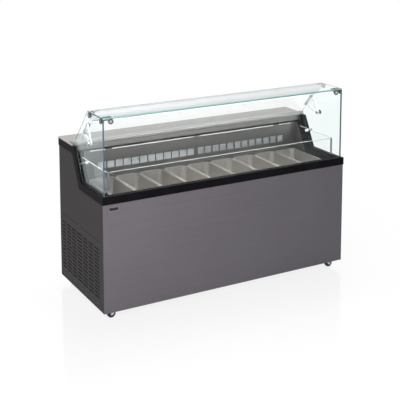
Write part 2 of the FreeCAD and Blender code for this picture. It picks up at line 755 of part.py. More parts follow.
def make_insulation():
    """Foam slabs round the liner; the rear one goes on up to the worktop."""
    x, y0, y1 = "half_width - sheet", "front + sheet", "back - sheet"
    floor = new_body("foam_floor")
    pad(floor, "XY", "tub_z", "liner_z - tub_z", [rectangle(f"0 - ({x})", x, y0, y1)])
    cut(floor, "XY", "tub_z - past", "tub_floor + 2 * past", [], pipe_holes())
    slabs = [
        floor,
        box("foam_front", f"0 - ({x})", x, y0, "liner_y", "liner_z", "band_z"),
        box("foam_rear", f"0 - ({x})", x, "duct_y", y1, "liner_z", "band_z"),
        box("foam_upper", "0 - (band_x)", "band_x", "duct_y", y1, "band_z", "slope_z"),
    ]
    for side, sign in SIDES:
        low, high = ends(sign, "liner_x", x)
        slabs.append(box(f"foam_{side}", low, high, "liner_y", "duct_y", "liner_z", "band_z"))
    return keep(gather("tub_insulation", slabs))


def make_liner():
    """Sheets of the tub and of the air duct behind it, welded along their edges."""
    x, inside_y, inside_z = "liner_x", "duct_y - sheet", "liner_z + sheet"
    floor = new_body("liner_floor")
    outline = rectangle(f"0 - ({x})", x, "liner_y", "duct_y")
    pad(floor, "XY", "liner_z", "sheet", [outline])
    cut(floor, "XY", "liner_z - past", "sheet + 2 * past", [], pipe_holes())
    sheets = [
        floor,
        box("liner_front", f"0 - ({x})", x, "liner_y", "liner_y + sheet", inside_z, "rack_z"),
        box("liner_rear", f"0 - ({x})", x, inside_y, "duct_y", inside_z, "slope_z"),
    ]
    for side, sign in SIDES:
        low, high = ends(sign, "well_half", x)
        sheets.append(box(f"liner_{side}", low, high, "liner_y + sheet", inside_y,
                          inside_z, "rack_z"))
        sheets.append(box(f"duct_{side}", low, high, "wall_y + sheet", inside_y,
                          "rack_z", "hood_z - side_play"))
    return keep(gather("tub_liner", sheets))


# --------------------------------------------------------------- top frame

def make_top_frame():
    body = new_body("top_frame")
    outer_x = "half_width + overhang"
    front_section = [
        ("front - overhang", "band_z"),
        ("liner_y", "band_z"),
        ("liner_y", "shelf_z"),
        ("front + rim_depth", "shelf_z"),
        ("front + rim_depth", "ledge_z"),
        ("front - overhang", "ledge_z"),
    ]
    pad(body, "YZ", f"0 - ({outer_x})", f"2 * ({outer_x})", [front_section])
    shift = "band_height * slant"
    band = [
        ("front - overhang", "band_z"),
        (slope_at("band_z", shift), "band_z"),
        (slope_at("band_back_z", shift), "band_back_z"),
        ("back + overhang", "band_back_z"),
        ("back + overhang", "slope_z"),
        (slope_at("slope_z"), "slope_z"),
        ("slope_y", "ledge_z"),
        ("front - overhang", "ledge_z"),
    ]
    shelf = rectangle("front", "duct_y", "band_z", "shelf_z")
    cheek_top = "hood_z - side_play"
    cheek = [
        (slope_at("shelf_z", "cheek_shift"), "shelf_z"),
        (slope_at("shelf_z", "cheek_shift + cheek_wall"), "shelf_z"),
        (slope_at(cheek_top, "cheek_shift + cheek_wall"), cheek_top),
        (slope_at(cheek_top, "cheek_shift"), cheek_top),
    ]
    for side, sign in SIDES:
        start = on_side(sign, "band_x", outer_x)
        pad(body, "YZ", start, "band_width + overhang", [band])
        start = on_side(sign, "liner_x", "band_x")
        pad(body, "YZ", start, "(band_x) - (liner_x)", [shelf])
        start = on_side(sign, "wall_x", "band_x")
        pad(body, "YZ", start, "cheek_width", [cheek])
    drop = "groove_depth * slant"
    groove = [
        ("pane_y", "ledge_z + past"),
        ("pane_y", "ledge_z - groove_depth"),
        (slope_at("ledge_z - groove_depth", drop), "ledge_z - groove_depth"),
        (slope_at("slope_z - groove_depth", drop), "slope_z - groove_depth"),
        ("front + glass_rear + groove_play", "slope_z - groove_depth"),
        ("front + glass_rear + groove_play", "slope_z + past"),
        (slope_at("slope_z + past"), "slope_z + past"),
        (slope_at("ledge_z + past"), "ledge_z + past"),
    ]
    inner, outer = "pane_x - glass - groove_play", "pane_x + groove_play"
    for side, sign in SIDES:
        cut(body, "YZ", on_side(sign, inner, outer), "glass + 2 * groove_play", [groove])
    long_groove = rectangle(f"0 - ({outer})", outer, "pane_y - groove_play",
                            "pane_y + glass + groove_play")
    cut(body, "XY", "ledge_z - groove_depth", "groove_depth + past", [long_groove])
    return keep(body)


def make_worktop():
    """A board, rebated along its front where the lip is seated."""
    body = new_body("worktop")
    x, step = "half_width + overhang", "lip_y + lip_depth + lip_play"
    section = [
        ("lip_y + lip_wall", "slope_z"),
        ("back + overhang", "slope_z"),
        ("back + overhang", "top_z"),
        (step, "top_z"),
        (step, "seat_z"),
        ("lip_y + lip_wall", "seat_z"),
    ]
    pad(body, "YZ", f"0 - ({x})", f"2 * ({x})", [section])
    return keep(body)


def make_worktop_lip():
    body = new_body("worktop_lip")
    crest = "top_z + lip_height"
    section = [
        ("lip_y", "slope_z"),
        ("lip_y + lip_wall", "slope_z"),
        ("lip_y + lip_wall", f"{crest} - lip_nose + lip_wall / 2"),
        ("lip_y + lip_nose", f"{crest} - lip_wall"),
        ("lip_y + lip_depth", "seat_z"),
        ("lip_y + lip_depth", "top_z + lip_wall / 2"),
        ("lip_y + lip_nose", crest),
        ("lip_y", f"{crest} - lip_nose"),
    ]
    x = "half_width - lip_inset"
    pad(body, "YZ", f"0 - ({x})", f"2 * ({x})", [section])
    cheek = [
        ("lip_y", "seat_z"),
        ("lip_y + lip_depth", "seat_z"),
        ("lip_y + lip_nose", crest),
        ("lip_y", f"{crest} - lip_nose"),
    ]
    for side, sign in SIDES:
        pad(body, "YZ", on_side(sign, f"{x} - lip_wall", x), "lip_wall", [cheek])
    return keep(body)


def make_hood_front():
    body = new_body("hood_front")
    wall = "hood_wall"
    rise = "hood_z + hood_height"
    step = "hood_y + hood_step"
    section = [
        ("hood_y", "hood_z"),
        ("hood_y + hood_return", "hood_z"),
        ("hood_y + hood_return", f"hood_z + {wall}"),
        (f"hood_y + {wall}", f"hood_z + {wall}"),
        (f"hood_y + {wall}", f"{rise} - {wall}"),
        (f"{step} + {wall}", f"{rise} - {wall}"),
        (f"{step} + {wall}", "slope_z"),
        (step, "slope_z"),
        (step, rise),
        ("hood_y", rise),
    ]
    pad(body, "YZ", "0 - (band_x)", "2 * (band_x)", [section])
    return keep(body)


def make_rear_wall(side, sign):
    """Half of the rear wall; its end is folded forwards, as far as the cheek."""
    body = new_body(f"rear_wall_{side}")
    near, far, top = "joint_gap / 2", "wall_x", "shelf_z + wall_height"
    wall = rectangle("wall_y", "wall_y + sheet", "shelf_z", top)
    pad(body, "YZ", on_side(sign, near, far), f"({far}) - ({near})", [wall])
    hem = rectangle("wall_y - hem_depth", "wall_y + sheet", f"{top} - hem_height", top)
    hem_end = f"{far} - hem_inset"
    pad(body, "YZ", on_side(sign, near, hem_end), f"({hem_end}) - ({near})", [hem])
    end = [
        (slope_at("shelf_z", "cheek_shift"), "shelf_z"),
        ("wall_y", "shelf_z"),
        ("wall_y", top),
        (slope_at(top, "cheek_shift"), top),
    ]
    pad(body, "YZ", on_side(sign, f"{far} - sheet", far), "sheet", [end])
    screws = [(signed(sign, "wall_screw_x"), f"shelf_z + {height}", "wall_screw")
              for height in ("wall_screw_low", "wall_screw_high")]
    pad(body, "XZ", "wall_y - sheet", "sheet", [], screws)
    for start, length in ((near, "tab_length / 2 - joint_gap / 2"),
                          ("tab_x - tab_length / 2", "tab_length")):
        low = on_side(sign, start, f"{start} + {length}")
        clip = rectangle(low, f"{low} + {length}", f"{top} - tab_height", f"{top} - hem_height")
        pad(body, "XZ", "wall_y - hem_depth", "hem_depth", [clip])
    row = "(vent_groups - 1) * vent_pitch + (vent_slots - 1) * vent_slot_pitch + vent_slot"
    first = "vent_inset" if not sign else f"0 - vent_inset - ({row})"
    slot = rectangle(first, f"{first} + vent_slot", "shelf_z + vent_rise",
                     "shelf_z + vent_rise + vent_height")
    hole = cut(body, "XZ", "wall_y - past", "sheet + 2 * past", [slot])
    groups = ("X", "vent_pitch", "vent_groups")
    repeat(body, hole, "X", "vent_slot_pitch", "vent_slots", groups)
    return keep(body)


def make_name_plate():
    body = new_body("name_plate")
    x = "0 - half_width + name_inset"
    z = "band_z - name_drop - name_height"
    outline = rectangle(x, f"{x} + name_width", z, f"{z} + name_height")
    pad(body, "XZ", "front - name_thick", "name_thick", [outline])
    round_edges(body, "name_corner", lambda edge: runs_along(edge, 1))
    return keep(body)


# ---------------------------------------------------------------- the pans

def make_pan_rack():
    body = new_body("pan_rack")
    outer = rectangle("0 - (liner_x)", "liner_x", "liner_y", "wall_y + sheet")
    pad(body, "XY", "rack_z", "rack_plate", [outer])
    left = "0 - pan_count * pan_pitch / 2 + rack_bar / 2"
    y = "front + front_margin + rack_bar / 2"
    window = rectangle(left, f"{left} + pan_pitch - rack_bar",
                       y, f"{y} + pan_room - rack_bar")
    first = cut(body, "XY", "rack_z - past", "rack_plate + 2 * past", [window])
    repeat(body, first, "X", "pan_pitch", "pan_count")
    return keep(body)


def rounded_face(half_x, half_y, radius, height):
    """A flat rounded rectangle round the axis, at a height."""
    points = []
    for turn, (sx, sy) in enumerate(((1, 1), (-1, 1), (-1, -1), (1, -1))):
        middle = Vector(sx * (half_x - radius), sy * (half_y - radius), height)
        points.append((middle, turn * 90))
    edges = []
    for index, (middle, start) in enumerate(points):
        arc = Part.makeCircle(radius, middle, Vector(0, 0, 1), start, start + 90)
        following, angle = points[(index + 1) % 4]
        end = arc.Vertexes[-1].Point
        ahead = FreeCAD.Rotation(Vector(0, 0, 1), angle).multVec(Vector(radius, 0, 0))
        edges += [arc, Part.makeLine(end, following + ahead)]
    return Part.Wire(edges)


def pan_shape():
    """A drawn steel pan with its rim's upper face at zero."""
    rim, wall = value("pan_rim"), value("pan_wall")
    half_x, half_y = value("pan_width / 2"), value("pan_length / 2")
    corner, draft = value("pan_corner"), value("pan_draft")
    depth, foot = value("pan_depth"), value("pan_foot_radius")

    def tub(inset, bottom, blend):
        x, y = half_x - rim - inset, half_y - rim - inset
        round_corner = corner - inset
        upper = rounded_face(x, y, round_corner, 0)
        lower = rounded_face(x - draft, y - draft, round_corner, bottom)
        solid = Part.makeLoft([lower, upper], True, True)
        floor = [edge for edge in solid.Edges
                 if abs(edge.BoundBox.ZMax - bottom) < 0.01]
        return solid.makeFillet(blend, floor)

    rim_face = Part.Face(rounded_face(half_x, half_y, corner + rim, 0))
    flange = rim_face.extrude(Vector(0, 0, -value("rim_plate")))
    outside = tub(0, -depth, foot)
    inside = tub(wall, wall - depth, foot - wall)
    return flange.fuse(outside).cut(inside).removeSplitter()


def make_pans():
    shape = pan_shape()
    count = int(value("pan_count"))
    for number in range(1, count + 1):
        pan = doc.addObject("Part::Feature", f"pan_{number}")
        pan.Shape = shape
        place = f"({number} - (pan_count + 1) / 2) * pan_pitch"
        middle = "front + front_margin + pan_room / 2"
        pan.Placement = FreeCAD.Placement(
            Vector(value(place), value(middle), value("shelf_z + rim_plate")),
            FreeCAD.Rotation())
        keep(pan, f"pan_{number}")


# ------------------------------------------------------------------- glass

def make_front_glass():
    body = new_body("front_glass")
    pane = rectangle("0 - (pane_x)", "pane_x", "ledge_z - groove_depth", "glass_z - glass")
    pad(body, "XZ", "pane_y", "glass", [pane])
    z = "glass_z - connector_drop"
    x = "pane_x - connector_reach"
    holes = [(x, z, "stud_radius"), (f"0 - ({x})", z, "stud_radius")]
    cut(body, "XZ", "pane_y - past", "glass + 2 * past", [], holes)
    return keep(body)


def make_top_glass():
    body = new_body("top_glass")
    pane = rectangle("0 - (pane_x)", "pane_x", "pane_y", "pane_y + top_depth")
    pad(body, "XY", "glass_z - glass", "glass", [pane])
    return keep(body)


def make_side_glass(side, sign):
    body = new_body(f"side_glass_{side}")
    drop = "groove_depth * slant"
    outline = [
        ("pane_y + glass", "ledge_z - groove_depth"),
        (slope_at("ledge_z - groove_depth", drop), "ledge_z - groove_depth"),
        (slope_at("slope_z - groove_depth", drop), "slope_z - groove_depth"),
        ("front + glass_rear", "slope_z - groove_depth"),
        ("front + glass_rear", "ledge_z + rear_corner_height"),
        ("pane_y + top_depth + glass * edge_run / (edge_rise)", "glass_z - glass"),
        ("pane_y + glass", "glass_z - glass"),
    ]
    start = on_side(sign, "pane_x - glass", "pane_x")
    pad(body, "YZ", start, "glass", [outline])
    z = "glass_z - connector_drop"
    holes = [
        ("pane_y + side_clamp_inset", z, "stud_radius"),
        ("pane_y + top_depth - side_clamp_inset", z, "stud_radius"),
        ("pivot_y", "pivot_z", "stud_radius"),
        ("front + knob_setback", "ledge_z + knob_rise", "stud_radius"),
    ]
    start = on_side(sign, "pane_x - glass - past", "pane_x + past")
    cut(body, "YZ", start, "glass + 2 * past", [], holes)
    return keep(body)


def stack(label, axis, sign, layers, a, b):
    """Coaxial cylinders along an axis: (start, end, radius) from the middle."""
    things = []
    for start, end, radius in layers:
        low = on_side(sign, start, end)
        spot = (low, a, b) if axis == "X" else (a, low, b)
        things.append(cylinder(label, axis, radius, f"({end}) - ({start})", *spot))
    return things


def clamp(label, sign, y):
    """A round clamp through a side pane, just under the top pane."""
    layers = [
        ("pane_x - glass - disc_plate", "pane_x - glass", "inner_disc_radius"),
        ("pane_x - glass", "pane_x", "stud_radius"),
        ("pane_x", "pane_x + disc_plate", "disc_radius"),
    ]
    return stack(label, "X", sign, layers, y, "glass_z - connector_drop")


def cap_screws(label, sign, y, length):
    """Two capped screws down through the top pane."""
    things = []
    for x in cap_places(sign):
        things.append(cylinder(label, "Z", "cap_radius", "cap_plate", x, y, "glass_z"))
        things.append(cylinder(label, "Z", "cap_radius / 2", length,
                               x, y, f"glass_z - ({length})"))
    return things


def cap_places(sign):
    x = signed(sign, "pane_x - connector_reach")
    return [f"{x} - cap_spacing / 2", f"{x} + cap_spacing / 2"]


FRONT_CLAMP_Y = "pane_y + side_clamp_inset"
REAR_CLAMP_Y = "pane_y + top_depth - side_clamp_inset"
REAR_CAP_Y = "pane_y + top_depth - lamp_depth + lamp_wall * 2"


def make_front_connector(side, sign):
    """An angle block that ties the front, side and top panes together."""
    label = f"front_connector_{side}"
    under = "glass_z - glass"
    things = clamp(label, sign, FRONT_CLAMP_Y)
    inner, outer = "pane_x - connector_reach - block_size / 2", "pane_x - glass"
    low, high = on_side(sign, inner, outer), on_side(sign, outer, inner)
    things.append(box(label, low, high, "pane_y + glass", f"{FRONT_CLAMP_Y} + block_size / 2",
                      f"{under} - block_plate", under))
    things += cap_screws(label, sign, FRONT_CLAMP_Y, "glass + screw_bite")
    for start, end, radius in (
            ("pane_y - disc_plate", "pane_y", "disc_radius"),
            ("pane_y", "pane_y + glass", "stud_radius"),
            ("pane_y + glass", "pane_y + glass + disc_plate", "inner_disc_radius")):
        x = signed(sign, "pane_x - connector_reach")
        things.append(cylinder(label, "Y", radius, f"({end}) - ({start})",
                               x, start, "glass_z - connector_drop"))
    return join(label, things)


def make_rear_connector(side, sign):
    """A short block beside the lamp, between side and top panes."""
    label = f"rear_connector_{side}"
    under = "glass_z - glass"
    things = clamp(label, sign, REAR_CLAMP_Y)
    inner, outer = "half_width - lamp_inset + side_play", "pane_x - glass"
    low, high = on_side(sign, inner, outer), on_side(sign, outer, inner)
    things.append(box(label, low, high, f"{REAR_CLAMP_Y} - block_size / 2",
                      f"{REAR_CLAMP_Y} + block_size / 2", f"{under} - block_plate", under))
    return join(label, things)


def make_connectors():
    pieces = []
    for side, sign in SIDES:
        pieces.append(make_front_connector(side, sign))
        pieces.append(make_rear_connector(side, sign))
        # The lamp hangs on the rear pairs of screws.
        for x in cap_places(sign):
            head = cylinder("lamp_screw_head", "Z", "cap_radius", "cap_plate",
                            x, REAR_CAP_Y, "glass_z")
            shank = cylinder("lamp_screw_shank", "Z", "cap_radius / 2", "glass + lamp_wall / 2",
                             x, REAR_CAP_Y, "glass_z - glass - lamp_wall / 2")
            pieces.append(join("lamp_screw", [head, shank]))
    return keep(gather("glass_connectors", pieces))


def drill_top_glass(body):
    """Holes for the screws of the angle blocks and the lamp."""
    holes = [(x, y, "cap_radius / 2") for side, sign in SIDES for x in cap_places(sign)
             for y in (FRONT_CLAMP_Y, REAR_CAP_Y)]
    cut(body, "XY", "glass_z - glass - past", "glass + 2 * past", [], holes)


# -------------------------------------------------------------------- lamp

# Front of the diffuser: share of its depth, share of its height.
LAMP_BULGE = ((0.045, 0.35), (0.2, 0.62), (0.5, 0.86))


def make_lamp():
    roof = "glass_z - glass"
    rear = "pane_y + top_depth"
    foot = f"{rear} + lamp_lean"
    low = f"{roof} - lamp_drop"
    x = "half_width - lamp_inset"
    housing = new_body("lamp_housing")
    section = [
        (f"{rear} - lamp_depth", roof),
        (f"{rear} - lamp_depth", f"{roof} - lamp_wall"),
        (f"{rear} - lamp_wall", f"{roof} - lamp_wall"),
        (f"{foot} - lamp_wall", low),
        (foot, low),
        (rear, roof),
    ]
    pad(housing, "YZ", f"0 - ({x})", f"2 * ({x})", [section])
    holes = [(spot, REAR_CAP_Y, "cap_radius / 2") for side, sign in SIDES
             for spot in cap_places(sign)]
    cut(housing, "XY", f"{roof} - lamp_wall / 2", "lamp_wall", [], holes)
    keep(housing)
    diffuser = new_body("lamp_diffuser")
    front = f"{rear} - lamp_depth"
    upper = f"{roof} - lamp_wall - lamp_gap"
    inner = "(lamp_wall + lamp_gap)"
    bulge = [
        (f"{front} + lamp_gap", upper),
        *((f"{front} + lamp_depth * {run} + lamp_lean * {run}", f"{roof} - lamp_drop * {fall}")
          for run, fall in LAMP_BULGE),
        (f"{foot} - {inner} - lamp_foot", low),
        (f"{foot} - {inner}", low),
        (f"{rear} - {inner}", upper),
    ]
    pad(diffuser, "YZ", f"0 - ({x})", f"2 * ({x})", [bulge])
    return keep(diffuser)


# --------------------------------------------------------------- rear flap

def lean_on_pivot(body):
    """Turn a body so that its Y runs down the flap and Z points out of it."""
    body.Placement = FreeCAD.Placement(Vector(), FreeCAD.Rotation(Vector(-1, 0, 0), 1))
    bind(body, "Placement.Rotation.Angle", "atan((edge_rise) / (edge_run))")
    bind_place(body, "0", "pivot_y", "pivot_z")


def screw_spots(sign):
    x = signed(sign, "flap_x - flap_sheet - flange_width / 2")
    return [(x, "0 - screw_half"), (x, "screw_half")]


def make_rear_flap():
    body = new_body("rear_flap")
    lean_on_pivot(body)
    pane = rectangle("0 - (flap_x)", "flap_x", "0 - flap_upper", "flap_lower")
    pad(body, "XY", "arm_reach", "flap_sheet", [pane])
    holes = [(x, y, "screw_radius") for side, sign in SIDES for x, y in screw_spots(sign)]
    cut(body, "XY", "arm_reach - past", "flap_sheet + 2 * past", [], holes)
    return keep(body)


def make_flap_arm(side, sign):
    body = new_body(f"flap_arm_{side}")
    lean_on_pivot(body)
    web_top, bevel = "arm_reach", "boss_radius / sqrt(2)"
    web = [
        ("0 - boss_radius", "0"),
        (f"0 - {bevel}", f"0 - {bevel}"),
        ("0", "0 - boss_radius"),
        (bevel, f"0 - {bevel}"),
        ("boss_radius", "0"),
        ("flange_half", f"{web_top} - flap_sheet"),
        ("flange_half", web_top),
        ("0 - flange_half", web_top),
        ("0 - flange_half", f"{web_top} - flap_sheet"),
    ]
    start = on_side(sign, "flap_x - flap_sheet", "flap_x")
    pad(body, "YZ", start, "flap_sheet", [web])
    flange = rectangle("0 - flange_half", "flange_half", f"{web_top} - flap_sheet", web_top)
    start = on_side(sign, "flap_x - flap_sheet - flange_width", "flap_x - flap_sheet")
    pad(body, "YZ", start, "flange_width", [flange])
    base = f"{web_top} - flap_sheet - arm_bar"
    half = "flange_half - window_inset"
    window = [
        ("0", "boss_radius + arm_bar"),
        (half, base),
        (f"0 - ({half})", base),
    ]
    bore = ("0", "0", "pin_radius + pin_play")
    start = on_side(sign, "flap_x - flap_sheet - past", "flap_x + past")
    through = "flap_sheet + 2 * past"
    cut(body, "YZ", start, through, [window])
    cut(body, "YZ", start, through, [], [bore])
    holes = [(x, y, "screw_radius") for x, y in screw_spots(sign)]
    cut(body, "XY", f"{web_top} - flap_sheet - past", through, [], holes)
    return body


def make_flap_screw(sign, x, y):
    body = new_body("flap_screw")
    lean_on_pivot(body)
    inner = "arm_reach - flap_sheet"
    pad(body, "XY", f"{inner} - screw_cap", "screw_cap", [], [(x, y, "screw_head")])
    pad(body, "XY", inner, "2 * flap_sheet", [], [(x, y, "screw_radius")])
    pad(body, "XY", "arm_reach + flap_sheet", "screw_cap", [], [(x, y, "screw_head")])
    return body


def make_flap_arms():
    arms = [make_flap_arm(side, sign) for side, sign in SIDES]
    screws = [make_flap_screw(sign, x, y) for side, sign in SIDES
              for x, y in screw_spots(sign)]
    return keep(gather("flap_arms", arms + screws))


def make_glass_studs():
    """Pivot pins of the flap and knobs of the guard, through the side panes."""
    studs = []
    for side, sign in SIDES:
        inside = "pane_x - glass"
        pin = [
            ("flap_x - flap_sheet - side_play - screw_cap",
             "flap_x - flap_sheet - side_play", "pin_head"),
            ("flap_x - flap_sheet - side_play", "flap_x + side_play", "pin_radius"),
            ("flap_x + side_play", inside, "pin_head"),
            (inside, "pane_x", "stud_radius"),
            ("pane_x", "pane_x + pin_cap", "boss_radius"),
        ]
        name = f"pivot_pin_{side}"
        studs.append(join(name, stack(name, "X", sign, pin, "pivot_y", "pivot_z")))
        knob = [
            ("guard_x - guard_sheet - knob_cap", "guard_x - guard_sheet", "knob_radius"),
            ("guard_x - guard_sheet", "guard_x", "stud_radius"),
            ("guard_x", inside, "knob_radius"),
            (inside, "pane_x", "stud_radius"),
            ("pane_x", "pane_x + knob_cap", "knob_radius"),
        ]
        name = f"guard_knob_{side}"
        y, z = "front + knob_setback", "ledge_z + knob_rise"
        studs.append(join(name, stack(name, "X", sign, knob, y, z)))
    return keep(gather("glass_studs", studs))


# ------------------------------------------------------------- inner guard

def make_inner_guard():
    body = new_body("inner_guard")
    x, y = "guard_x", "front + guard_setback"
    top = "shelf_z + guard_height"
    rear = slope_at(top, "guard_shift")
    inner = f"{x} - guard_sheet"
    plan = [
        (f"0 - ({x})", y), (x, y), (x, rear), (inner, rear),
        (inner, f"{y} + guard_sheet"), (f"0 - ({inner})", f"{y} + guard_sheet"),
        (f"0 - ({inner})", rear), (f"0 - ({x})", rear),
    ]
    pad(body, "XY", "shelf_z", "guard_height", [plan])
    foot = "shelf_z - past"
    wedge = [
        (slope_at(foot, "guard_shift"), foot),
        (f"{rear} + past", foot),
        (f"{rear} + past", top),
        (rear, top),
    ]
    cut(body, "YZ", f"0 - ({x}) - past", f"2 * ({x}) + 2 * past", [wedge])
    holes = [("front + knob_setback", "ledge_z + knob_rise", "stud_radius")]
    for side, sign in SIDES:
        start = on_side(sign, f"{inner} - past", f"{x} + past")
        cut(body, "YZ", start, "guard_sheet + 2 * past", [], holes)
    front_y = value(y) + value("guard_sheet")

    def outer_bend(edge):
        spot = edge.CenterOfMass
        return runs_along(edge, 2) and spot.y < front_y - 0.5

    def inner_bend(edge):
        spot = edge.CenterOfMass
        return (runs_along(edge, 2) and abs(spot.y - front_y) < 0.01
                and abs(abs(spot.x) - value(inner)) < 0.01)

    round_edges(body, "guard_bend", outer_bend)
    round_edges(body, "guard_bend - guard_sheet", inner_bend)
    return keep(body)


# ----------------------------------------------------------------- casters

CORNERS = [("front_left", -1, -1), ("front_right", 1, -1),
           ("rear_left", -1, 1), ("rear_right", 1, 1)]


def caster_spot(x_side, y_side):
    x = "swivel_x" if x_side > 0 else "0 - (swivel_x)"
    y = "swivel_y" if y_side > 0 else "0 - (swivel_y)"
    return x, y


def make_caster_plates():
    plates = []
    for name, x_side, y_side in CORNERS:
        x, y = caster_spot(x_side, y_side)
        low = "tray_z - plate_thick"
        flat = box("caster_plate", f"{x} - plate_length / 2", f"{x} + plate_length / 2",
                   f"{y} - plate_width / 2", f"{y} + plate_width / 2", low, "tray_z")
        race = cylinder("caster_race", "Z", "race_radius", "race_height",
                        x, y, f"{low} - race_height")
        bore = cylinder("caster_bore", "Z", "stem_radius + pin_play", "race_height",
                        x, y, f"{low} - race_height")
        solid = join("caster_plate_blank", [flat, race])
        plates.append(subtract(f"caster_plate_{name}", solid, bore))
    return keep(gather("caster_plates", plates))


def place_caster(body, x_side, y_side):
    x, y = caster_spot(x_side, y_side)
    turn = 0 if x_side > 0 else 180
    body.Placement = FreeCAD.Placement(Vector(), FreeCAD.Rotation(Vector(0, 0, 1), turn))
    bind_place(body, x, y, "0")


def make_fork(name, x_side, y_side):
    body = new_body(f"caster_fork_{name}")
    place_caster(body, x_side, y_side)
    pad(body, "XY", "crown_z - crown_height", "crown_height", [], [("0", "0", "race_radius")])
    pad(body, "XY", "crown_z", "race_height - stem_drop", [], [("0", "0", "stem_radius")])
    leg = [
        ("0 - leg_half", "crown_z"),
        ("leg_half", "crown_z"),
        ("trail + leg_foot", "wheel_radius + leg_foot / 2"),
        ("trail + leg_foot", "wheel_radius - leg_foot / 2"),
        ("trail + leg_foot / 2", "wheel_radius - leg_foot"),
        ("trail - leg_foot / 2", "wheel_radius - leg_foot"),
        ("trail - leg_foot", "wheel_radius - leg_foot / 2"),
        ("0 - leg_half", "crown_z - crown_height"),
    ]
    inside = "wheel_width / 2 + fork_gap"
    pad(body, "XZ", inside, "fork_leg", [leg])
    pad(body, "XZ", f"0 - ({inside}) - fork_leg", "fork_leg", [leg])
    bridge = rectangle("0 - leg_half", "leg_half",
                       f"0 - ({inside}) - fork_leg", f"{inside} + fork_leg")
    pad(body, "XY", "crown_z - fork_leg", "fork_leg", [bridge])
    axle = ("trail", "wheel_radius", "axle_radius")
    reach = f"{inside} + fork_leg + axle_proud"
    pad(body, "XZ", f"0 - ({reach})", f"2 * ({reach})", [], [axle])
    return keep(body)


def make_wheel(name, x_side, y_side):
    body = new_body(f"caster_wheel_{name}")
    place_caster(body, x_side, y_side)
    tread = ("trail", "wheel_radius", "wheel_radius")
    pad(body, "XZ", "0 - wheel_width / 2", "wheel_width", [], [tread])
    rim = value("wheel_radius")

    def shoulder(edge):
        return (edge.Curve.TypeId == "Part::GeomCircle"
                and abs(edge.Curve.Radius - rim) < 0.01)

    round_edges(body, "tread_radius", shoulder)
    bore = ("trail", "wheel_radius", "axle_radius + pin_play")
    cut(body, "XZ", "0 - wheel_width / 2 - past", "wheel_width + 2 * past", [], [bore])
    return keep(body)


# ---------------------------------------------------------------- controls

BUTTONS = (("button_up", "up_shift"), ("button_down", "down_shift"))


def key_outline(shift, play="0"):
    """A thermostat key, or its well with play all round."""
    x, half_x = f"fascia_x + {shift}", f"(button_width / 2 + {play})"
    half_z = f"(button_height / 2 + {play})"
    return rectangle(f"{x} - {half_x}", f"{x} + {half_x}",
                     f"fascia_z - {half_z}", f"fascia_z + {half_z}")


def make_fascia(case):
    body = new_body("control_fascia")
    half_x = "(fascia_width / 2 + fascia_overlap)"
    half_z = "(fascia_height / 2 + fascia_overlap)"
    plate = rectangle(f"fascia_x - {half_x}", f"fascia_x + {half_x}",
                      f"fascia_z - {half_z}", f"fascia_z + {half_z}")
    start = "back - sheet - fascia_plate"
    pad(body, "XZ", start, "fascia_plate", [plate])
    x = "fascia_x + switch_shift"
    half_x = "(switch_width / 2 + button_play)"
    half_z = "(switch_height / 2 + button_play)"
    hole = rectangle(f"{x} - {half_x}", f"{x} + {half_x}",
                     f"fascia_z - {half_z}", f"fascia_z + {half_z}")
    cut(body, "XZ", f"{start} - past", "fascia_plate + 2 * past", [case, hole])
    return keep(body)


def make_thermostat(case):
    """The case of the thermostat, with a well for each key, and its two keys."""
    face = "(back - sheet + bezel_proud)"
    start = "(back - sheet - fascia_plate - thermostat_depth)"
    body = new_body("thermostat")
    pad(body, "XZ", start, f"{face} - {start}", [case])
    wells = [key_outline(shift, "button_play") for name, shift in BUTTONS]
    cut(body, "XZ", f"{face} - button_depth", "button_depth + past", wells)
    keep(body)
    low = f"({face} - button_depth + button_travel + button_floor)"
    for name, shift in BUTTONS:
        key = new_body(name)
        pad(key, "XZ", low, f"{face} + button_proud - {low}", [key_outline(shift)])
        round_edges(key, "button_corner", lambda edge: runs_along(edge, 1))
        keep(key)


def make_light_switch():
    body = new_body("light_switch")
    half = "switch_width / 2"
    profile = [
        (f"0 - {half}", "0"),
        ("0", "0 - rocker_dip"),
        (half, "0"),
        (f"{half} - rocker_taper", "0 - switch_depth"),
        (f"0 - {half} + rocker_taper", "0 - switch_depth"),
    ]
    pad(body, "XY", "0 - switch_height / 2", "switch_height", [profile])
    bind_place(body, "fascia_x + switch_shift", "back - sheet + rocker_proud", "fascia_z")
    return keep(body)


def make_gland():
    inner, z = "back - thread_length", "fascia_z - fascia_height - gland_radius"
    collar = cylinder("collar", "Y", "gland_radius", "gland_collar", "fascia_x", "back", z)
    thread = cylinder("thread", "Y", "thread_radius", "thread_length", "fascia_x", inner, z)
    nut = cylinder("nut", "Y", "nut_radius", "nut_length", "fascia_x",
                   "back - sheet - nut_length", z)
    bore = cylinder("bore", "Y", "gland_bore", "thread_length + gland_collar + 2 * past",
                    "fascia_x", f"{inner} - past", z)
    return keep(subtract("cable_gland", join("gland_blank", [collar, thread, nut]), bore))


def make_controls():
    case = rectangle("fascia_x - thermostat_width / 2", "fascia_x + thermostat_width / 2",
                     "fascia_z - thermostat_height / 2", "fascia_z + thermostat_height / 2")
    make_fascia(case)
    make_thermostat(case)
    make_light_switch()
    make_gland()


# ---------------------------------------------------------- machine space

